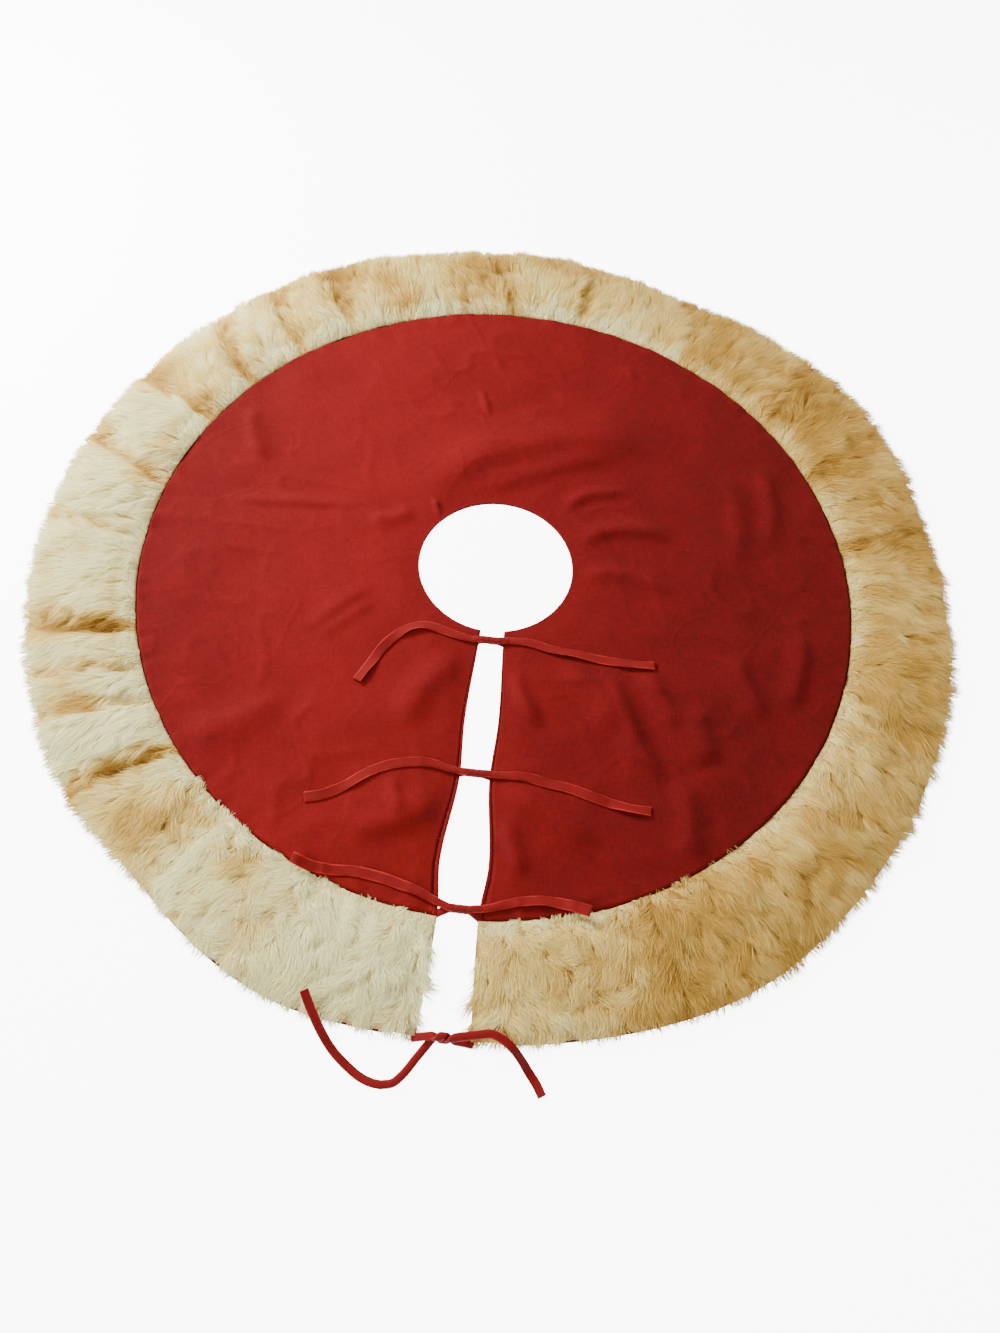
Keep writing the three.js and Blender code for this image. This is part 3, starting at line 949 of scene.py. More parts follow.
@dataclass
class FaceRelief:
    """How high the face cloth lies above its flat rest, at any place.

    Attributes:
        plan: the skirt's edges.
        fullness: how much of the cloth's fullness stands up in its folds.
        swell: the height of the broad, slow waves in the cloth.
        crumple: the height of the small creases.
        pucker: the height of the gathers along the border's seam.
        pucker_reach: how far in from the seam these fade.
        edge_calm: how near a free edge the cloth lies flat.
    """

    plan: SkirtPlan
    fullness: float = 2.3
    swell: float = 2.0 * MM
    crumple: float = 1.1 * MM
    pucker: float = 2.4 * MM
    pucker_reach: float = 15 * MM
    edge_calm: float = 30 * MM

    def at(self, x: Array, y: Array) -> Array:
        """The cloth's height above its flat rest at points in plan."""
        radius = np.hypot(x, y)
        angle = np.degrees(np.arctan2(y, x))
        height = self.fullness * sum(fold.at(x, y) for fold in FACE_FOLDS)
        waves = SmoothNoise(11, 0.085).at(x, y) + 0.5 * SmoothNoise(12, 0.04).at(x, y)
        height = height + self.swell * (waves + 1.5)
        crease = 1.0 - np.abs(SmoothNoise(13, 0.045).at(x + 0.3 * y, y)) * 2.0
        height = height + self.crumple * np.clip(crease, 0.0, 1.0) ** 2 * (1 + SmoothNoise(14, 0.12).at(x, y))
        inward = self.plan.seam_radius - radius
        gathers = SmoothNoise(15, 0.011).at(np.radians(angle) * self.plan.seam_radius, inward * 0.25)
        fading = np.exp(-np.clip(inward, 0, None) / self.pucker_reach)
        height = height + self.pucker * (gathers + 0.4) * fading
        from_neck = radius - self.plan.neck_at(angle)
        from_slit = np.abs(x) - np.interp(radius, *self.plan.slit_table)
        by_slit = np.where(y < 0, ease(0.0, self.edge_calm, from_slit), 1.0)
        calm = 0.25 + 0.75 * ease(0.0, self.edge_calm, from_neck) * by_slit
        return np.clip(height * calm, 0.0, None) * ease(-0.2 * MM, 3 * MM, inward)


# ---- The ties -----------------------------------------------------------------------------------


class Side(Enum):
    """The slit edge that a tie is sewn to."""

    LEFT = -1
    RIGHT = 1


class Ground(Enum):
    """What a pair of ties lies on."""

    FACE = "face"
    FLOOR = "floor"


@dataclass(frozen=True)
class TiePair:
    """A pair of ties: its knot and the routes of its two free tails, in metres.

    Attributes:
        name: which pair it is.
        knot: the middle of its half knot.
        ground: what it lies on.
        right_tail: stops of the tail on the right, each with the height of its underside.
        left_tail: stops of the tail on the left.
        left_lead: the stretch over the floor before the left tail.
        width: the width of its tape, which is less where the tape is creased lengthwise.
        sewn_drop: how far nearer the hem than its knot it is sewn on.
    """

    name: str
    knot: tuple[float, float]
    ground: Ground
    right_tail: tuple[tuple[float, float, float], ...]
    left_tail: tuple[tuple[float, float, float], ...]
    left_lead: tuple[tuple[float, float], ...] = ()
    width: float = 12.7 * MM
    sewn_drop: float = 2 * MM


TIE_PAIRS = (
    TiePair(
        "neck",
        (-0.001, -0.114),
        Ground.FACE,
        ((0.022, -0.112, 0), (0.054, -0.113, 0), (0.079, -0.118, 0), (0.113, -0.121, 0), (0.141, -0.124, 0),
         (0.169, -0.126, 0), (0.191, -0.126, 0), (0.211, -0.125, 0)),
        ((-0.024, -0.116, 0), (-0.044, -0.113, 0), (-0.070, -0.107, 0),
         (-0.087, -0.105, 0), (-0.104, -0.110, 0),
         (-0.119, -0.121, 0), (-0.135, -0.143, 0), (-0.149, -0.171, 0), (-0.160, -0.194, 0)),
    ),
    TiePair(
        "middle",
        (-0.001, -0.298),
        Ground.FACE,
        ((0.028, -0.298, 0), (0.057, -0.297, 0), (0.084, -0.301, 0), (0.113, -0.305, 0), (0.142, -0.313, 0),
         (0.172, -0.319, 0), (0.192, -0.322, 0), (0.212, -0.322, 0)),
        ((-0.028, -0.297, 0), (-0.054, -0.293, 0), (-0.080, -0.295, 0),
         (-0.105, -0.302, 0), (-0.129, -0.316, 0),
         (-0.152, -0.334, 0), (-0.175, -0.348, 0), (-0.195, -0.353, 0)),
    ),
    TiePair(
        "border",
        (0.002, -0.462),
        Ground.FACE,
        ((0.035, -0.458, 0), (0.054, -0.451, 0), (0.073, -0.446, 0),
         (0.095, -0.443, 0), (0.115, -0.444, 0.001),
         (0.132, -0.448, 0.007), (0.146, -0.452, 0.014)),
        ((-0.030, -0.455, 0), (-0.048, -0.448, 0), (-0.067, -0.443, 0),
         (-0.088, -0.438, 0), (-0.108, -0.435, 0),
         (-0.127, -0.434, 0), (-0.151, -0.436, 0.001), (-0.173, -0.435, 0.007), (-0.192, -0.430, 0.012)),
        sewn_drop=9 * MM,
    ),
    TiePair(
        "hem",
        (0.001, -0.600),
        Ground.FLOOR,
        ((0.038, -0.594, 0.020), (0.050, -0.592, 0.020), (0.062, -0.596, 0.0195), (0.073, -0.603, 0.017),
         (0.084, -0.613, 0.009), (0.094, -0.624, 0.002), (0.103, -0.635, 0.0002), (0.109, -0.645, 0.0002)),
        ((-0.058, -0.651, 0.0002), (-0.068, -0.650, 0.0002),
         (-0.080, -0.646, 0.0002), (-0.095, -0.637, 0.001),
         (-0.112, -0.624, 0.006), (-0.127, -0.607, 0.015), (-0.140, -0.588, 0.022), (-0.150, -0.571, 0.026)),
        ((-0.018, -0.611), (-0.026, -0.623), (-0.036, -0.638), (-0.046, -0.648)),
        width=9.8 * MM,
    ),
)


@dataclass
class Tie:
    """One tie: a folded and stitched tape, drawn together in a half knot and flat along its tail.

    Attributes:
        pair: the pair that it belongs to.
        side: the slit edge that it is sewn to; its tail lies on the other side.
        plan: the skirt's edges.
        relief: the face cloth's height, which a tail on the face follows.
        thickness: its thickness at the stitched edges.
        hollow: how much thinner it is in the middle.
        gathered_width: its width in the knot.
        gathered_thickness: its thickness in the knot.
        turn_radius: from the knot's middle line to each tape's.
        knot_length: the length of the half knot.
        knot_turns: how often the tapes wind about each other.
        open_length: over which the tape opens from its gathered width to its flat one.
        sewn_in: how far its sewn end reaches in between the face and the lining.
        sewn_height: how high that end lies.
        lean_angle: how far its tail leans at most, in degrees.
        lean_length: over which that changes.
        clearance: between the tape and what it lies on.
        floor_gap: between the tape and the floor.
        step: between the rings of its mesh.
        knot_step: between them in the knot.
        bend: on each side of the place where the tail lifts, how far the tape bends.
    """

    pair: TiePair
    side: Side
    plan: SkirtPlan
    relief: FaceRelief
    thickness: float = 1.7 * MM
    hollow: float = 0.5 * MM
    gathered_width: float = 9.0 * MM
    gathered_thickness: float = 5.0 * MM
    turn_radius: float = 2.6 * MM
    knot_length: float = 22 * MM
    knot_turns: float = 1.5
    open_length: float = 55 * MM
    sewn_in: float = 4 * MM
    sewn_height: float = 1.3 * MM
    lean_angle: float = 20.0
    lean_length: float = 45 * MM
    clearance: float = 0.4 * MM
    floor_gap: float = 0.2 * MM
    step: float = 1.6 * MM
    knot_step: float = 0.6 * MM
    bend: float = 6 * MM

    @property
    def name(self) -> str:
        """The name that a person would give this tie."""
        return f"{self.pair.name}_tie_{self.side.name.lower()}"

    @property
    def tail(self) -> Array:
        """The stops of this tie's tail."""
        return np.array(self.pair.right_tail if self.side is Side.LEFT else self.pair.left_tail, float)

    def tail_line(self) -> Array:
        """The middle line of the tail, resting on what lies below it."""
        line = smooth_line(self.tail, self.step)
        rest = line[:, 2] + self.thickness / 2
        if self.pair.ground is Ground.FACE:
            run = np.gradient(line[:, :2], axis=0)
            across = np.stack([-run[:, 1], run[:, 0]], 1) / np.linalg.norm(run, axis=1)[:, None]
            edges = [line[:, :2] + across * self.pair.width * k for k in (-0.5, -0.25, 0.0, 0.25, 0.5)]
            below = np.max([self.relief.at(e[:, 0], e[:, 1]) for e in edges], axis=0)
            rest = rest + face_top() + self.clearance + below
        return np.column_stack([line[:, :2], rest])

    def knot_line(self, tail_start: Array) -> Array:
        """The middle line from the slit's edge, about the other tie, and out to the tail."""
        sign = self.side.value
        x, y = self.pair.knot
        low = self.gathered_thickness / 2 + self.clearance
        axis = max(self.gathered_width / 2 + self.clearance, tail_start[2] - self.turn_radius)
        edge = sign * (float(np.interp(-y, *self.plan.slit_table)) + self.sewn_in)
        share = np.linspace(0.0, 1.0, round(self.knot_turns * 20) + 1)
        phase = -math.pi / 2 + sign * self.knot_turns * 2 * math.pi * share
        winding = np.stack(
            [
                x + sign * self.knot_length * (0.5 - share),
                y + self.turn_radius * np.cos(phase),
                axis + self.turn_radius * np.sin(phase),
            ],
            axis=1,
        )
        stretch = self.pair.left_lead if self.side is Side.RIGHT else ()
        lead = [(a, b, low + self.clearance) for a, b in stretch]
        return np.array([(edge, y - self.pair.sewn_drop, self.sewn_height), *winding, *lead])

    def centreline(self) -> tuple[Array, int]:
        """The tie's whole middle line, and the number of its point where the tail begins."""
        tail = self.tail_line()
        stops = np.vstack([self.knot_line(tail[0]), tail[0]])
        knot = smooth_line(stops, self.knot_step)
        return np.vstack([knot[:-1], tail]), len(knot) - 1

    def lean(self, along: Array) -> Array:
        """How far the tape leans to one side at lengths along it, in radians."""
        seed = 51 + TIE_PAIRS.index(self.pair) + 10 * (self.side is Side.RIGHT)
        wave = SmoothNoise(seed, self.lean_length).at(along, 0.0 * along)
        return math.radians(self.lean_angle) * wave

    def facing(self, line: Array, start: int) -> Array:
        """Which way the tape's flat side faces: away from the knot's axis in the knot, and up along the tail.

        Args:
            line: the middle line's points.
            start: the number of the point where the tail begins.

        Returns:
            A direction for each point.
        """
        sign = self.side.value
        gone = np.clip(sign * (self.pair.knot[0] - line[:, 0]) / self.knot_length + 0.5, 0.0, 1.0)
        gone[start:] = 1.0
        phase = -math.pi / 2 + sign * self.knot_turns * 2 * math.pi * gone
        return np.stack([np.zeros(len(line)), np.cos(phase), np.sin(phase)], axis=1)

    def build(self) -> bpy.types.Object:
        """Builds the tape's mesh along its line.

        Returns:
            The tie, riding on the skirt at its sewn end and on its tail's body beyond the lift.
        """
        line, start = self.centreline()
        count = len(line)
        along = np.concatenate([[0.0], np.cumsum(np.linalg.norm(np.diff(line, axis=0), axis=1))])
        run = np.gradient(line, axis=0)
        run /= np.linalg.norm(run, axis=1)[:, None]
        side = np.cross(self.facing(line, start), run)
        side /= np.linalg.norm(side, axis=1)[:, None]
        up = np.cross(run, side)
        lean = self.lean(along) * ease(along[start], along[start] + self.open_length, along)
        line = line + np.outer(np.abs(np.sin(lean)) * self.pair.width / 2, (0.0, 0.0, 1.0))
        cosine, sine = np.cos(lean)[:, None], np.sin(lean)[:, None]
        side, up = cosine * side + sine * up, cosine * up - sine * side
        opened = ease(along[start] - 0.2 * self.open_length, along[start] + self.open_length, along)
        width = self.gathered_width + (self.pair.width - self.gathered_width) * opened
        bunched = (1 - opened) * ease(0.0, 2.5 * self.sewn_in, along)
        thick = self.thickness + (self.gathered_thickness - self.thickness) * bunched
        hollow = self.hollow * opened
        if self.pair.ground is Ground.FACE:
            # Where the tape leaves the knot it is still bunched, so it lies higher than a flat one would.
            leaving = ease(along[start] - 0.2 * self.open_length, along[start], along)
            line[:, 2] += (thick - self.thickness) / 2 * leaving
        line[:, 2] = np.maximum(line[:, 2], thick / 2 + self.floor_gap)
        ring = np.linspace(0.0, 2 * np.pi, 16, endpoint=False)
        squareness = (0.55 + 0.4 * bunched)[:, None]
        wide = np.sign(np.cos(ring)) * np.abs(np.cos(ring)) ** squareness
        tall = np.sign(np.sin(ring)) * np.abs(np.sin(ring)) ** squareness
        pinch = 1 - (hollow / thick)[:, None] * (np.abs(wide) < 0.8)
        points = (
            line[:, None, :]
            + side[:, None, :] * (width[:, None] / 2 * wide)[:, :, None]
            + up[:, None, :] * (thick[:, None] / 2 * tall * pinch)[:, :, None]
        )
        sections = len(ring)
        index = np.arange(count * sections).reshape(count, sections)
        ahead = np.roll(index, -1, axis=1)
        quads = np.stack([index[:-1], ahead[:-1], ahead[1:], index[1:]], -1).reshape(-1, 4)
        ends = np.vstack([points.reshape(-1, 3), line[:1], line[-1:]])
        first, last = count * sections, count * sections + 1
        caps = np.concatenate(
            [
                np.stack([ahead[0], index[0], np.full(sections, first)], -1),
                np.stack([index[-1], ahead[-1], np.full(sections, last)], -1),
            ]
        )
        values = {
            "across": np.concatenate([wide.ravel(), [0.0, 0.0]]),
            "along": np.concatenate([np.repeat(along, sections), [0.0, along[-1]]]),
        }
        piece = build_object(self.name + "_tape", ends, quads, caps, values)
        dress(piece, TieTape("folded cotton tape", 0.85), "ties")
        self.attach(piece, line, start)
        return piece

    def attach(self, piece: bpy.types.Object, line: Array, start: int) -> None:
        """Args:
            piece: the tape.
            line: its middle line.
            start: the number of the line's point where the tail begins.
        """
        nodes = (self.name, self.name + "_tail")
        lift = next(j for j in frame["joints"] if j["child"] == nodes[1])
        pivot = Vector(lift["pos_m"])
        outward = Vector((-lift["axis"][1], lift["axis"][0], 0.0)).normalized() * self.bend
        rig.blend(piece, "root", nodes[1], start=pivot - outward, end=pivot + outward)
        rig.replaces(piece, *nodes)
        length = line_length(line)
        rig.cord(
            piece, exit=line[0], length=round(length, 3), diameter=self.pair.width, far_end="bare",
            stiffness="limp",
            lay="loose", path=line,
        )
        LOG.info(
            "%s: %.0f mm of tape, tail of %.0f mm",
            piece.name,
            length / MM,
            line_length(line[start:]) / MM,
        )


def face_top() -> float:
    """The height of the flat face cloth's upper side."""
    return float(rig.box("face_cloth")[1].z)


# ---- The face cloth and the lining --------------------------------------------------------------


def edged(count: int, total: float, steps: tuple[float, ...] = (0.5 * MM, 1.4 * MM, 3 * MM)) -> Array:
    """Shares of a span from 0 to 1 that lie close together at its two ends, for turned edges.

    Args:
        count: how many even steps there are between the ends.
        total: the span's length.
        steps: how far from each end the close ones lie.

    Returns:
        The shares in rising order.
    """
    near = np.array(steps) / total
    even = np.linspace(0.0, 1.0, count + 1)[1:-1]
    return np.concatenate([[0.0], near, even, 1 - near[::-1], [1.0]])


@dataclass
class FaceCloth:
    """The red face: one C-shaped cloth, bagged out at the neck and the slit and sewn to the border.

    Attributes:
        plan: the skirt's edges.
        relief: its folds.
        around: even steps of its mesh round the skirt.
        across: even steps from the neck to the seam.
        turned: how far a turned edge rounds down.
    """

    plan: SkirtPlan
    relief: FaceRelief
    around: int = 520
    across: int = 84
    turned: float = 0.45 * MM

    def build(self) -> bpy.types.Object:
        """Builds the cloth with its folds."""
        low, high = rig.box("face_cloth")
        outer = self.plan.seam_radius - self.plan.seam_ditch / 2
        v = edged(self.across, outer - self.plan.neck_radius)
        u = edged(self.around, math.tau * outer / 2)
        angle, radius = self.plan.round_grid(u, v, lambda a: np.full_like(a, outer))
        x, y = to_plan(angle, radius)
        z = high.z + self.relief.at(x, y)
        rounding = np.zeros_like(z)
        for row in (np.s_[:, 0], np.s_[:, -1], np.s_[0, :], np.s_[-1, :]):
            rounding[row] = self.turned
        points, quads = closed_sheet(np.stack([x, y, z - rounding], -1), float(high.z - low.z))
        piece = build_object("face_cloth_sheet", points, quads)
        dress(piece, BrushedCotton("brushed red cotton", 0.9), "face_cloth")
        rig.ride(piece, "root")
        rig.replaces(piece, "face_cloth")
        across_flat = 2 * outer
        area = math.pi * (outer**2 - self.plan.neck_radius**2)
        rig.sheet(
            piece, flat=(across_flat, across_flat), held="laid", rests_on=["lining_sheet"],
            area=round(area, 4)
        )
        LOG.info(
            "%s: %.0f mm across, folds up to %.1f mm",
            piece.name,
            across_flat / MM,
            (z.max() - high.z) / MM,
        )
        return piece


@dataclass
class Lining:
    """The red lining under the whole skirt, from the neck to just inside the border's edge.

    Attributes:
        plan: the skirt's edges.
        around: even steps of its mesh round the skirt.
        across: even steps from the neck to the edge.
        ripple: how far its outer edge lifts where the border is gathered.
        wave_length: of that lift.
        wave_radius: the radius at which its waves are counted.
        lift_end: the radius at which it is fully lifted.
        mesh_span: the width and the length that its edges' close steps are spread over.
    """

    plan: SkirtPlan
    around: int = 300
    across: int = 44
    ripple: float = 2.5 * MM
    wave_length: float = 0.05
    wave_radius: float = 0.6
    lift_end: float = 0.62
    mesh_span: tuple[float, float] = (0.5, 3.0)

    def build(self) -> bpy.types.Object:
        """Builds the lining."""
        low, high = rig.box("lining")
        points = node_points("lining")
        angles = np.degrees(np.arctan2(points[:, 1], points[:, 0]))
        radii = np.hypot(points[:, 0], points[:, 1])
        rim = radii > self.plan.seam_radius + 0.1
        order = np.argsort(angles[rim])
        table = angles[rim][order], radii[rim][order]

        def outer(angle: Array) -> Array:
            """The lining's outer radius at angles."""
            return np.interp((angle + 180.0) % 360.0 - 180.0, *table, period=360.0)

        v = edged(self.across, self.mesh_span[0])
        u = edged(self.around, self.mesh_span[1])
        angle, radius = self.plan.round_grid(u, v, outer)
        x, y = to_plan(angle, radius)
        wave = SmoothNoise(21, self.wave_length).at(np.radians(angle) * self.wave_radius, radius * 0.3)
        lift = self.ripple * (0.5 + 0.5 * wave) * ease(self.plan.seam_radius + 0.03, self.lift_end, radius)
        sheet, quads = closed_sheet(np.stack([x, y, high.z + lift], -1), float(high.z - low.z))
        piece = build_object("lining_sheet", sheet, quads)
        dress(piece, LiningTwill("cotton twill lining", 0.7), "lining")
        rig.ride(piece, "root")
        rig.replaces(piece, "lining")
        across_flat = 2 * float(np.median(radii[rim]))
        area = math.pi * ((across_flat / 2) ** 2 - self.plan.neck_radius**2)
        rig.sheet(piece, flat=(across_flat, across_flat), held="laid", area=round(area, 4))
        LOG.info("%s: %.0f mm across", piece.name, across_flat / MM)
        return piece


# ---- The fur border -----------------------------------------------------------------------------


@dataclass(frozen=True)
class Gather:
    """A place where the border is drawn together into a fold that runs outwards.

    Attributes:
        seam_angle: its angle in degrees at the seam.
        edge_angle: its angle at the border's edge.
        depth: how deep it is, as a share of the border's height.
        width: how wide it is.
    """

    seam_angle: float
    edge_angle: float
    depth: float
    width: float


GATHERS = (
    Gather(93.5, 97.0, 0.45, 9 * MM),
    Gather(124.0, 122.0, 0.55, 11 * MM),
    Gather(134.5, 132.0, 0.6, 10 * MM),
    Gather(145.5, 141.0, 0.7, 10 * MM),
    Gather(156.5, 154.5, 0.85, 10 * MM),
    Gather(171.5, 166.0, 0.8, 11 * MM),
    Gather(183.0, 181.0, 0.6, 9 * MM),
    Gather(200.0, 196.5, 0.9, 9 * MM),
    Gather(206.5, 203.5, 0.7, 8 * MM),
    Gather(212.5, 209.0, 0.85, 8 * MM),
    Gather(222.0, 220.0, 0.95, 9 * MM),
    Gather(233.5, 234.0, 0.5, 12 * MM),
    Gather(81.0, 82.5, 0.5, 8 * MM),
    Gather(60.0, 67.0, 0.2, 8 * MM),
    Gather(40.0, 47.0, 0.32, 11 * MM),
    Gather(27.0, 33.0, 0.34, 11 * MM),
    Gather(12.0, 14.0, 0.35, 10 * MM),
)


@dataclass(frozen=True)
class ShadedPatch:
    """A patch of painted shade where the pile parts.

    Attributes:
        angle: where its middle is, in degrees.
        share: how far out across the border its middle is, from 0 to 1.
        spread: how far it reaches round, in degrees, and across, as a share.
        depth: how much darker it is.
    """

    angle: float
    share: float
    spread: tuple[float, float]
    depth: float


SHADED_PATCHES = (
    ShadedPatch(97.0, 0.55, (5.0, 0.35), 0.34),
    ShadedPatch(121.0, 0.6, (5.0, 0.4), 0.3),
    ShadedPatch(152.0, 0.6, (3.0, 0.4), 0.3),
    ShadedPatch(61.0, 0.7, (6.0, 0.25), 0.1),
    ShadedPatch(86.0, 0.75, (5.0, 0.3), 0.2),
    ShadedPatch(44.0, 0.5, (4.0, 0.18), 0.16),
    ShadedPatch(35.0, 0.5, (3.5, 0.2), 0.14),
    ShadedPatch(198.0, 0.4, (1.6, 0.6), 0.3),
    ShadedPatch(221.0, 0.5, (2.0, 0.6), 0.35),
    ShadedPatch(228.0, 0.55, (4.0, 0.4), 0.3),
    ShadedPatch(240.0, 0.2, (8.0, 0.2), 0.2),
    ShadedPatch(291.0, 0.3, (5.0, 0.5), 0.22),
)


@dataclass
class Pile:
    """How the border's pile stands, lies and is coloured at any place.

    Attributes:
        plan: the skirt's edges.
        back: the height of the backing, with its underfur, at its fullest.
        lump: how uneven it is.
        thin_end: how much it thins at the slit.
        lee: how much wider a gather's slope is on its clockwise side, where it falls slowly.
        steep: how wide it is on the other side.
    """

    plan: SkirtPlan
    back: float = 14 * MM
    lump: float = 3.2 * MM
    thin_end: float = 0.5
    lee: float = 2.7
    steep: float = 0.8
    profile: tuple[tuple[float, ...], tuple[float, ...]] = (
        (0.0, 0.05, 0.16, 0.34, 0.55, 0.76, 0.9, 1.0),
        (0.10, 0.42, 0.78, 1.0, 1.0, 0.84, 0.5, 0.12),
    )

    def share_of(self, angle: Array, radius: Array) -> Array:
        """How far out across the border points lie, from 0 at the seam to 1 at the edge."""
        return (radius - self.plan.seam_radius) / (self.plan.edge_radius(angle) - self.plan.seam_radius)

    def valley(self, angle: Array, share: Array) -> Array:
        """How deep the gathers are at points, from 0 to 1."""
        deep = np.zeros(np.broadcast(angle, share).shape)
        turn = past_slit(angle)
        for g in GATHERS:
            middle = g.seam_angle + (g.edge_angle - g.seam_angle) * share
            arc = np.radians(turn - middle) * self.plan.middle_radius
            reach = g.width * (0.75 + 0.5 * share) * np.where(arc < 0, self.lee, self.steep)
            deep = np.maximum(deep, g.depth * np.exp(-((arc / reach) ** 2)) * (1 - 0.35 * share))
        return deep

    def ripple(self, angle: Array, share: Array) -> Array:
        """The small gathers along the seam, from -1 to 1, fading outwards."""
        arc = np.radians(angle) * self.plan.seam_radius
        fine = SmoothNoise(31, 0.016).at(arc, share * 0.02)
        broad = SmoothNoise(32, 0.034).at(arc, share * 0.03)
        waves = fine + 0.6 * broad
        return waves * np.exp(-((share / 0.5) ** 2))

    def back_height(self, angle: Array, radius: Array) -> Array:
        """The height of the backing's upper side above the border's base."""
        share = self.share_of(angle, radius)
        arc = np.radians(angle) * self.plan.middle_radius
        height = self.back * np.interp(share, *self.profile)
        body = np.interp(share, (0.0, 0.1, 0.9, 1.0), (0.1, 1.0, 1.0, 0.1))
        lumps = SmoothNoise(33, 0.042).at(arc, radius) + 0.45 * SmoothNoise(34, 0.019).at(arc, radius)
        height = height + self.lump * body * (lumps + 0.8 * self.ripple(angle, share))
        height = height * (1 - 0.85 * self.valley(angle, share))
        away = np.abs(np.mod(angle + 90.0 + 180.0, 360.0) - 180.0) - self.plan.half_angle(radius)
        height = height * (1 - self.thin_end * np.exp(-((away / 3.5) ** 2)))
        return np.clip(height, 0.8 * MM, None)

    def tone(self, angle: Array, radius: Array) -> Array:
        """The pile's tone at points, from 0, deep tan, to 1, ivory, with painted shade and painted light in it."""
        share = self.share_of(angle, radius)
        arc = np.radians(angle) * self.plan.middle_radius
        turn = past_slit(angle)
        # Darker and more golden towards the right: golden fur colour, with painted shade where the light falls off.
        golden = ease(140.0, 15.0, turn) * (1 - 0.5 * ease(-62.0, -80.0, turn))
        clouds = 0.18 * SmoothNoise(35, 0.06).at(arc, radius) + 0.1 * SmoothNoise(36, 0.022).at(arc, radius)
        tone = 0.7 + clouds * (1 - 0.45 * golden) - 0.29 * golden
        # Painted shade in the gathers' valleys.
        tone = tone - 0.55 * self.valley(angle, share)
        tone = tone + 0.3 * ease(0.14, 0.0, share) * (1 - 0.4 * golden)
        # Painted light: paler towards the left, where the light falls from the left.
        tone = tone + 0.13 * ease(236.0, 256.0, turn) + 0.13 * ease(140.0, 175.0, turn)
        # Painted shade in the patches where the pile parts.
        for patch in SHADED_PATCHES:
            around = ((turn - patch.angle) / patch.spread[0]) ** 2
            outward = ((share - patch.share) / patch.spread[1]) ** 2
            tone = tone - patch.depth * np.exp(-(around + outward))
        return np.clip(tone, 0.0, 1.0)

    def sweep(self, angle: Array, radius: Array) -> Array:
        """How far the pile's lie turns from straight outwards at points, in degrees, counter-clockwise."""
        arc = np.radians(angle) * self.plan.middle_radius
        turn = past_slit(angle)
        swirl = 34 * SmoothNoise(37, 0.075).at(arc, radius) + 22 * SmoothNoise(38, 0.03).at(arc, radius)
        return swirl - 14 * ease(60.0, 20.0, turn) * ease(-60.0, -20.0, turn)

    def tousle(self, angle: Array) -> Array:
        """How tousled the pile is at angles, from 0, combed, to 1: most by the slit."""
        turn = past_slit(angle)
        return 0.25 + 0.75 * np.maximum(ease(222.0, 240.0, turn), ease(-45.0, -70.0, turn))

    def neat(self, angle: Array) -> Array:
        """How closely the outer edge is turned under, from 0 to 1: most at the back and the left."""
        turn = past_slit(angle)
        return ease(45.0, 75.0, turn) * ease(238.0, 220.0, turn)


@dataclass(frozen=True)
class PileLayer:
    """One length of fibre in the pile.

    Attributes:
        name: what it is called.
        seed: picks its random numbers.
        length: of its longest strands.
        width: of a strand at its root; each stands for a few dozen fibres.
        lift: how much more steeply it stands, in degrees.
        tone: how much paler it is.
        reach: how far its outermost strands reach past their roots.
        spacing: between the roots of its strands.
    """

    name: str
    seed: int
    length: float
    width: float
    lift: float
    tone: float
    reach: float
    spacing: float


PILE_LAYERS = (
    PileLayer("underfur", 100, 23 * MM, 1.3 * MM, 4.0, -0.04, 12 * MM, 2.2 * MM),
    PileLayer("guard_hair", 200, 34 * MM, 0.6 * MM, 0.0, 0.02, 18 * MM, 1.5 * MM),
)


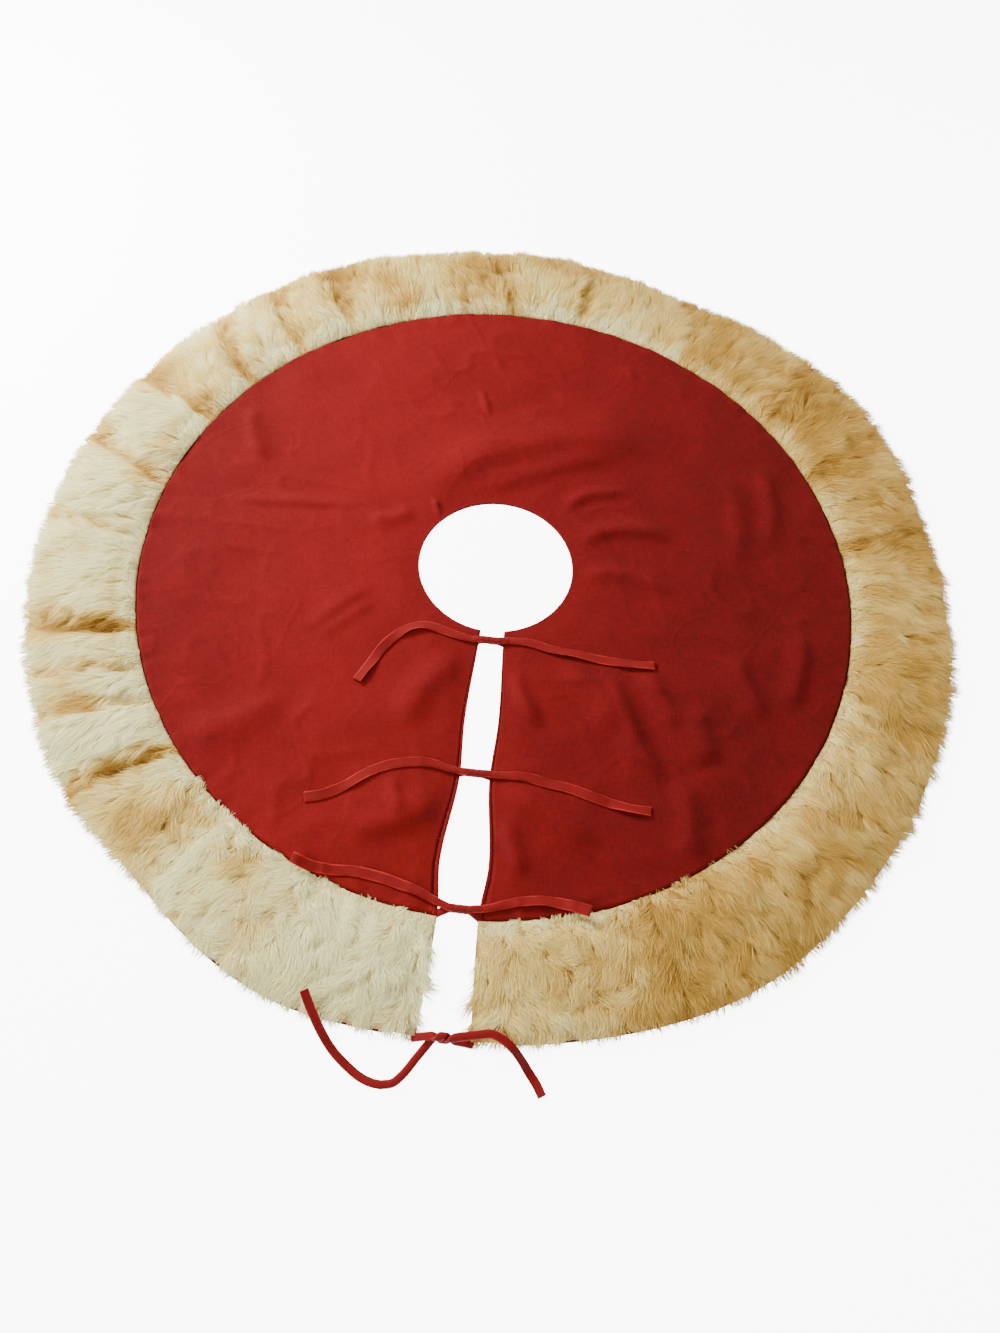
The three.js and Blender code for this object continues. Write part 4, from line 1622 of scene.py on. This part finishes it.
@dataclass
class FurStrip:
    """One strip of the border: its gathered backing and the pile on it.

    Attributes:
        number: which strip it is, counted from the slit's right edge.
        plan: the skirt's edges.
        pile: how the pile stands, lies and is coloured.
        ties: the middle lines of the ties that lie on the border and press the pile down.
        gather_ratio: the strip's cut length to its length along the skirt.
        backing_thickness: of the knitted back.
        cell: the size of the backing's mesh.
        lock: between the locks that the strands draw together in.
        edge_reach: how far the pile reaches past the backing.
        backing_width: the width that the backing's cells are counted over.
        backing_radius: the radius that they are counted round.
        pile_width: the width that the strands' roots are counted over.
    """

    number: int
    plan: SkirtPlan
    pile: Pile
    ties: list[Array]
    gather_ratio: float = 1.12
    backing_thickness: float = 1.0 * MM
    cell: float = 3.2 * MM
    lock: float = 15 * MM
    edge_reach: float = 9 * MM
    backing_width: float = 0.137
    backing_radius: float = 0.54
    pile_width: float = 0.125

    @property
    def name(self) -> str:
        """The strip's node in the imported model."""
        return f"fur_strip_{self.number}"

    def ends(self) -> tuple[float, float]:
        """The angles of the strip's two ends, measured along the middle of its width."""
        points = node_points(self.name)
        turn = past_slit(np.degrees(np.arctan2(points[:, 1], points[:, 0])))
        return float(turn.min()), float(turn.max())

    def build(self) -> None:
        backing = self.build_backing()
        layers = [self.build_pile(layer) for layer in PILE_LAYERS]
        first, last = self.ends()
        arc = math.radians(last - first) * self.plan.middle_radius
        width = float(np.median(self.plan.edge_table[1])) - self.plan.seam_radius
        for piece in (backing, *layers):
            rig.ride(piece, "root")
        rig.replaces(backing, self.name)
        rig.sheet(
            backing,
            flat=(round(width, 3), round(arc * self.gather_ratio, 3)),
            held="gathered",
            rests_on=["lining_sheet"],
            with_pieces=layers,
        )
        faces = sum(len(layer.data.polygons) for layer in layers)
        LOG.info("%s: %.0f degrees, %d faces of pile", self.name, last - first, faces)

    def build_backing(self) -> bpy.types.Object:
        """Builds the gathered back with its dense underfur."""
        first, last = self.ends()
        base = float(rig.box(self.name)[0].z)
        columns = round(self.backing_width / self.cell) + 1
        rows = round(math.radians(last - first) * self.backing_radius / self.cell) + 1
        u, v = np.linspace(0.0, 1.0, rows)[:, None], np.linspace(0.0, 1.0, columns)[None, :]
        angle = first + (last - first) * u + 0.0 * v
        inner = self.plan.seam_radius + self.plan.seam_ditch / 2
        radius = inner + (self.plan.edge_radius(angle) - self.edge_reach - inner) * v
        x, y = to_plan(angle, radius)
        z = base + self.backing_thickness + self.pile.back_height(angle, radius)
        points, quads = closed_sheet(np.stack([x, y, z], -1), self.backing_thickness)
        tone = np.tile(self.pile.tone(angle, radius).ravel(), 2)
        piece = build_object(self.name + "_backing", points, quads, values={"tone": tone})
        dress(piece, KnittedBacking("knitted fur backing", 0.95), "fur")
        return piece

    def build_pile(self, layer: PileLayer) -> bpy.types.Object:
        """Builds a layer of the pile as tapered strands that draw together in locks."""
        rng = np.random.default_rng(layer.seed + self.number)
        first, last = self.ends()
        seam = self.plan.seam_radius + self.plan.seam_ditch / 2
        mean = self.plan.middle_radius
        arcs = np.arange(math.radians(first) * mean, math.radians(last) * mean, layer.spacing)
        shares = np.linspace(0.0, 1.0, round(self.pile_width / layer.spacing))
        arc, share = (g.ravel() for g in np.meshgrid(arcs, shares, indexing="ij"))
        count = len(arc)
        arc = arc + rng.uniform(-0.5, 0.5, count) * layer.spacing
        share = np.clip(share + rng.uniform(-0.5, 0.5, count) / len(shares), 0.0, 1.0)
        angle = np.clip(np.degrees(arc / mean), first, last)
        outer = self.plan.edge_radius(angle) - layer.reach * (1 - 0.4 * self.pile.neat(angle))
        radius = seam + (outer - seam) * share
        angle = self.off_slit(angle, radius)
        lock = self.locks(arc, radius, mean)
        strands = self.grow(rng, layer, angle, radius, share, lock)
        return self.strand_mesh(rng, layer, strands, angle, radius, lock)

    def off_slit(self, angle: Array, radius: Array) -> Array:
        """Keeps roots clear of the slit's edges."""
        margin = self.plan.half_angle(radius) + math.degrees(1.5 * MM / self.plan.seam_radius)
        return np.clip(angle, -90.0 + margin, 270.0 - margin)

    def locks(self, arc: Array, radius: Array, mean: float) -> dict[str, Array]:
        """Finds the lock that each strand belongs to, and what the strands of a lock share.

        Args:
            arc: each root's place round the skirt, as a length.
            radius: its radius.
            mean: the radius that turns angles into arcs.

        Returns:
            The lock's middle and its random numbers, one value for each strand.
        """
        table = np.random.default_rng(7).uniform(0.0, 1.0, (512, 64, 7))
        i0, j0 = np.floor(arc / self.lock).astype(int), np.floor(radius / self.lock).astype(int)
        best = np.full(len(arc), np.inf)
        found = {k: np.zeros(len(arc)) for k in ("arc", "radius", "turn", "length", "rise", "tone", "pull")}
        for di in (-1, 0, 1):
            for dj in (-1, 0, 1):
                i, j = i0 + di, j0 + dj
                draws = table[i % 512, j % 64]
                a, r = (i + draws[:, 0]) * self.lock, (j + draws[:, 1]) * self.lock
                away = np.hypot(arc - a, radius - r)
                closer = away < best
                best = np.where(closer, away, best)
                for key, value in zip(found, (a, r, *draws[:, 2:].T)):
                    found[key] = np.where(closer, value, found[key])
        return found

    def grow(
        self, rng: np.random.Generator, layer: PileLayer, angle: Array, radius: Array, share: Array,
        lock: dict[str, Array],
    ) -> Array:
        """Grows every strand from its root to its tip.

        Args:
            rng: the layer's random numbers.
            layer: the layer it belongs to.
            angle: each root's angle in degrees.
            radius: its radius.
            share: how far out across the border it is.
            lock: what it shares with its lock.

        Returns:
            Five points for each strand.
        """
        count, bends = len(angle), 4
        mean = self.plan.middle_radius
        base = float(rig.box(self.name)[0].z)
        x, y = to_plan(angle, radius)
        z = base + self.pile.back_height(angle, radius) - 1 * MM
        tousle = self.pile.tousle(angle)
        turn = self.pile.sweep(angle, radius) + rng.normal(0, 1, count) * (5 + 9 * tousle)
        turn = turn + (20 + 70 * tousle) * (lock["turn"] - 0.5)
        over_seam = self.over_seam(angle, share) > rng.uniform(0, 1, count)
        turn = np.where(over_seam, 180 + 0.8 * turn, turn)
        heading = np.radians(angle + turn)
        full = np.interp(share, (0.0, 0.05, 0.18, 0.8, 1.0), (0.4, 0.6, 1.0, 1.0, 0.85))
        full = full * (1 - 0.3 * self.pile.neat(angle) * ease(0.7, 1.0, share)) * (1 - 0.22 * tousle)
        length = layer.length * full * (0.8 + 0.25 * lock["length"]) * rng.uniform(0.82, 1.08, count)
        length = np.where(over_seam, length * 0.8, length)
        rise = np.interp(share, (0.0, 0.03, 0.1, 0.5, 0.85, 1.0), (104, 84, 56, 38, 24, 12))
        rise = rise + layer.lift + (12 + 18 * tousle) * (lock["rise"] - 0.5) + rng.normal(0, 5, count)
        rise = rise + 24 * self.pile.ripple(angle, share) * ease(0.1, 0.0, share)
        valley = self.pile.valley(angle, share)
        length = length * (1 - 0.35 * valley)
        points = np.zeros((count, bends + 1, 3))
        points[:, 0] = np.stack([x, y, z], 1)
        curl = np.radians(16 * rng.uniform(-1, 1, count) + (30 + 90 * tousle) * (lock["pull"] - 0.5))
        lx, ly = to_plan(np.degrees(lock["arc"] / mean), lock["radius"])
        for k in range(bends):
            middle = (k + 0.5) / bends
            tilt = np.radians(rise * (1 - 1.15 * middle) - 10 * middle)
            way = heading + curl * middle
            step = length / bends
            points[:, k + 1, 0] = points[:, k, 0] + step * np.cos(tilt) * np.cos(way)
            points[:, k + 1, 1] = points[:, k, 1] + step * np.cos(tilt) * np.sin(way)
            points[:, k + 1, 2] = points[:, k, 2] + step * np.sin(tilt)
        for k in range(1, bends + 1):
            draw = 0.28 * (k / bends) ** 1.5
            points[:, k, 0] -= draw * np.clip(x - lx, -self.lock, self.lock)
            points[:, k, 1] -= draw * np.clip(y - ly, -self.lock, self.lock)
        points[:, 1:, 2] = np.maximum(points[:, 1:, 2], 0.6 * MM)
        return self.pressed(points)

    def over_seam(self, angle: Array, share: Array) -> Array:
        """The share of strands that lie inwards over the seam: most by the slit, few elsewhere."""
        turn = past_slit(angle)
        often = np.maximum(ease(212.0, 232.0, turn), ease(-42.0, -60.0, turn))
        tufts = SmoothNoise(39, 0.02).at(np.radians(turn) * self.plan.seam_radius, share * 0.1)
        return 0.85 * often * ease(-0.1, 0.5, tufts) * ease(0.09, 0.0, share)

    def pressed(self, points: Array) -> Array:
        """Presses down the pile that lies under a tie.

        Args:
            points: the strands' points.

        Returns:
            The points, none of them reaching up into a tie.
        """
        flat = points.reshape(-1, 3)
        for line in self.ties:
            low, high = line[:, :2].min(0) - 0.012, line[:, :2].max(0) + 0.012
            near = np.flatnonzero(((flat[:, :2] > low) & (flat[:, :2] < high)).all(axis=1))
            if not len(near):
                continue
            away = np.linalg.norm(flat[near, None, :2] - line[None, ::2, :2], axis=2)
            closest = away.argmin(axis=1)
            limit = line[::2][closest, 2] - 2.2 * MM
            under = away.min(axis=1) < 8.5 * MM
            lowered = np.minimum(flat[near, 2], np.maximum(limit, 1 * MM))
            flat[near, 2] = np.where(under, lowered, flat[near, 2])
        return flat.reshape(points.shape)

    def strand_mesh(
        self, rng: np.random.Generator, layer: PileLayer, strands: Array, angle: Array, radius: Array,
        lock: dict[str, Array],
    ) -> bpy.types.Object:
        """Turns the strands into one mesh of tapered ribbons with their tones.

        Args:
            rng: the layer's random numbers.
            layer: the layer that they belong to.
            strands: the strands' points.
            angle: each root's angle in degrees.
            radius: its radius.
            lock: what it shares with its lock.

        Returns:
            The layer of pile.
        """
        first, last = self.ends()
        count, stops = strands.shape[:2]
        run = np.gradient(strands, axis=1)
        run /= np.maximum(np.linalg.norm(run, axis=2, keepdims=True), 1e-9)
        side = np.cross(run, np.array([0.0, 0.0, 1.0]))
        side /= np.maximum(np.linalg.norm(side, axis=2, keepdims=True), 1e-9)
        up = np.cross(side, run)
        roll = rng.uniform(-0.6, 0.6, count)[:, None, None]
        side = side * np.cos(roll) + up * np.sin(roll)
        taper = np.array([1.0, 0.95, 0.8, 0.5])[None, :, None] * layer.width / 2
        wide = taper * rng.uniform(0.7, 1.2, count)[:, None, None]
        body = strands[:, : stops - 1]
        left, right = body - side[:, : stops - 1] * wide, body + side[:, : stops - 1] * wide
        points = np.concatenate([left, right, strands[:, -1:]], axis=1)
        each = points.shape[1]
        start = (np.arange(count) * each)[:, None]
        pairs = stops - 1
        quads = np.concatenate(
            [start + np.array([[k, k + pairs, k + 1 + pairs, k + 1]]) for k in range(pairs - 1)]
        )
        tips = start + np.array([[pairs - 1, 2 * pairs - 1, 2 * pairs]])
        along = np.concatenate([np.arange(pairs), np.arange(pairs), [pairs]]) / pairs
        tone = self.pile.tone(angle, radius) + layer.tone + 0.15 * (lock["tone"] - 0.5)
        tone = tone + rng.normal(0, 0.04, count)
        values = {"tone": np.repeat(tone, each), "along": np.tile(along, count)}
        flat = points.reshape(-1, 3)
        flat[:, 2] = np.maximum(flat[:, 2], 0.2 * MM)
        turn = past_slit(np.degrees(np.arctan2(flat[:, 1], flat[:, 0])))
        chart = np.stack(
            [
                np.clip((turn - first + 3) / (last - first + 6), 0.0, 1.0),
                np.clip((np.hypot(flat[:, 0], flat[:, 1]) - 0.44) / 0.24, 0.0, 1.0),
            ],
            axis=1,
        )
        piece = build_object(f"{self.name}_{layer.name}", flat, quads, tips, values, chart)
        dress(piece, FauxFur("acrylic faux fur pile", 0.75), "fur")
        return piece


# ---- The seams' threads, and the studio ---------------------------------------------------------


def dress_threads() -> None:
    """Dresses the seam threads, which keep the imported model's own shape inside the seams."""
    for name in ("border_seam_thread", "hem_seam_thread", "front_seam_thread"):
        dress(frame["nodes"][name], SpunThread("spun polyester thread", 0.5), "thread")
        LOG.info("%s: dressed", name)


@dataclass
class Studio:
    """The plain floor, the soft lights and the camera.

    Attributes:
        place: where the camera stands.
        down: how far it looks down, in degrees.
        turn: how far it looks to the right, in degrees.
        roll: how far it is tilted, in degrees.
        lens: its focal length in millimetres.
        floor_size: the width of the floor.
    """

    place: tuple[float, float, float] = (0.00824, -0.75312, 1.11650)
    down: float = 61.5208
    turn: float = 0.6334
    roll: float = 7.2985
    lens: float = 27.0
    floor_size: float = 60.0

    def build(self) -> None:
        """Sets up the camera, the floor and the lights."""
        self.build_camera()
        self.build_floor()
        world = bpy.data.worlds.new("soft_room")
        world.use_nodes = True
        world.node_tree.nodes["Background"].inputs["Color"].default_value = linear_colour("#fbfaf8")
        world.node_tree.nodes["Background"].inputs["Strength"].default_value = 0.38
        bpy.context.scene.world = world
        self.build_light("key_light", (-1.35, 0.75, 0.95), 0.6, 67.0, "#fffefa")
        self.build_light("front_fill", (-1.1, -1.1, 1.3), 1.4, 27.0, "#fffdf6")
        self.build_light("warm_fill", (1.5, 0.5, 1.1), 1.2, 15.0, "#fff0dc")
        LOG.info("studio: camera, floor and three lights")

    def build_camera(self) -> None:
        """Places the camera."""
        data = bpy.data.cameras.new("studio_camera")
        data.lens = self.lens
        data.clip_start, data.clip_end = 0.05, 50.0
        camera = bpy.data.objects.new("studio_camera", data)
        pitch, yaw, roll = (math.radians(a) for a in (self.down, self.turn, self.roll))
        forward = Vector((math.sin(yaw) * math.cos(pitch), math.cos(yaw) * math.cos(pitch), -math.sin(pitch)))
        level = Vector((math.cos(yaw), -math.sin(yaw), 0.0))
        above = level.cross(forward)
        right = math.cos(roll) * level + math.sin(roll) * above
        up = math.cos(roll) * above - math.sin(roll) * level
        turned = Matrix((right, up, -forward)).transposed().to_4x4()
        camera.matrix_world = Matrix.Translation(self.place) @ turned
        bpy.context.scene.collection.objects.link(camera)
        bpy.context.scene.camera = camera

    def build_floor(self) -> None:
        """Lays the floor just under the skirt."""
        half = self.floor_size / 2
        corners = np.array([(-half, -half, 0.0), (half, -half, 0.0), (half, half, 0.0), (-half, half, 0.0)])
        floor = build_object("floor", corners - np.array([0.0, 0.0, 0.4 * MM]), np.array([[0, 1, 2, 3]]))
        floor.data.materials.append(PaintedFloor("white painted floor", 0.6).material())
        floor.visible_diffuse = False
        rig.stage(floor)

    def build_light(
        self, name: str, place: tuple[float, float, float], size: float, power: float, colour: str
    ) -> None:
        """Adds a square soft light that faces the skirt."""
        data = bpy.data.lights.new(name, "AREA")
        data.size, data.energy = size, power
        data.color = linear_colour(colour)[:3]
        light = bpy.data.objects.new(name, data)
        light.location = place
        light.rotation_mode = "QUATERNION"
        light.rotation_quaternion = (-Vector(place)).to_track_quat("-Z", "Y")
        bpy.context.scene.collection.objects.link(light)


def main() -> None:
    """Builds the skirt from its ties up, then the studio round it."""
    logging.basicConfig(level=logging.INFO, format="%(name)s %(message)s", stream=sys.stdout)
    plan = SkirtPlan()
    relief = FaceRelief(plan)
    Studio().build()
    ties = [Tie(pair, side, plan, relief) for pair in TIE_PAIRS for side in Side]
    for tie in ties:
        tie.build()
    Lining(plan).build()
    FaceCloth(plan, relief).build()
    on_border = [tie.centreline()[0] for tie in ties if tie.pair.name in ("border", "hem")]
    pile = Pile(plan)
    for number in range(1, 5):
        FurStrip(number, plan, pile, on_border).build()
    dress_threads()
    sizes = {"cad": [list(c) for c in CAD_BOX], "visual": [list(c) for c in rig.bounds()]}
    with open("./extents.json", "w") as out:
        json.dump(sizes, out)


if __name__ == "__main__":
    main()
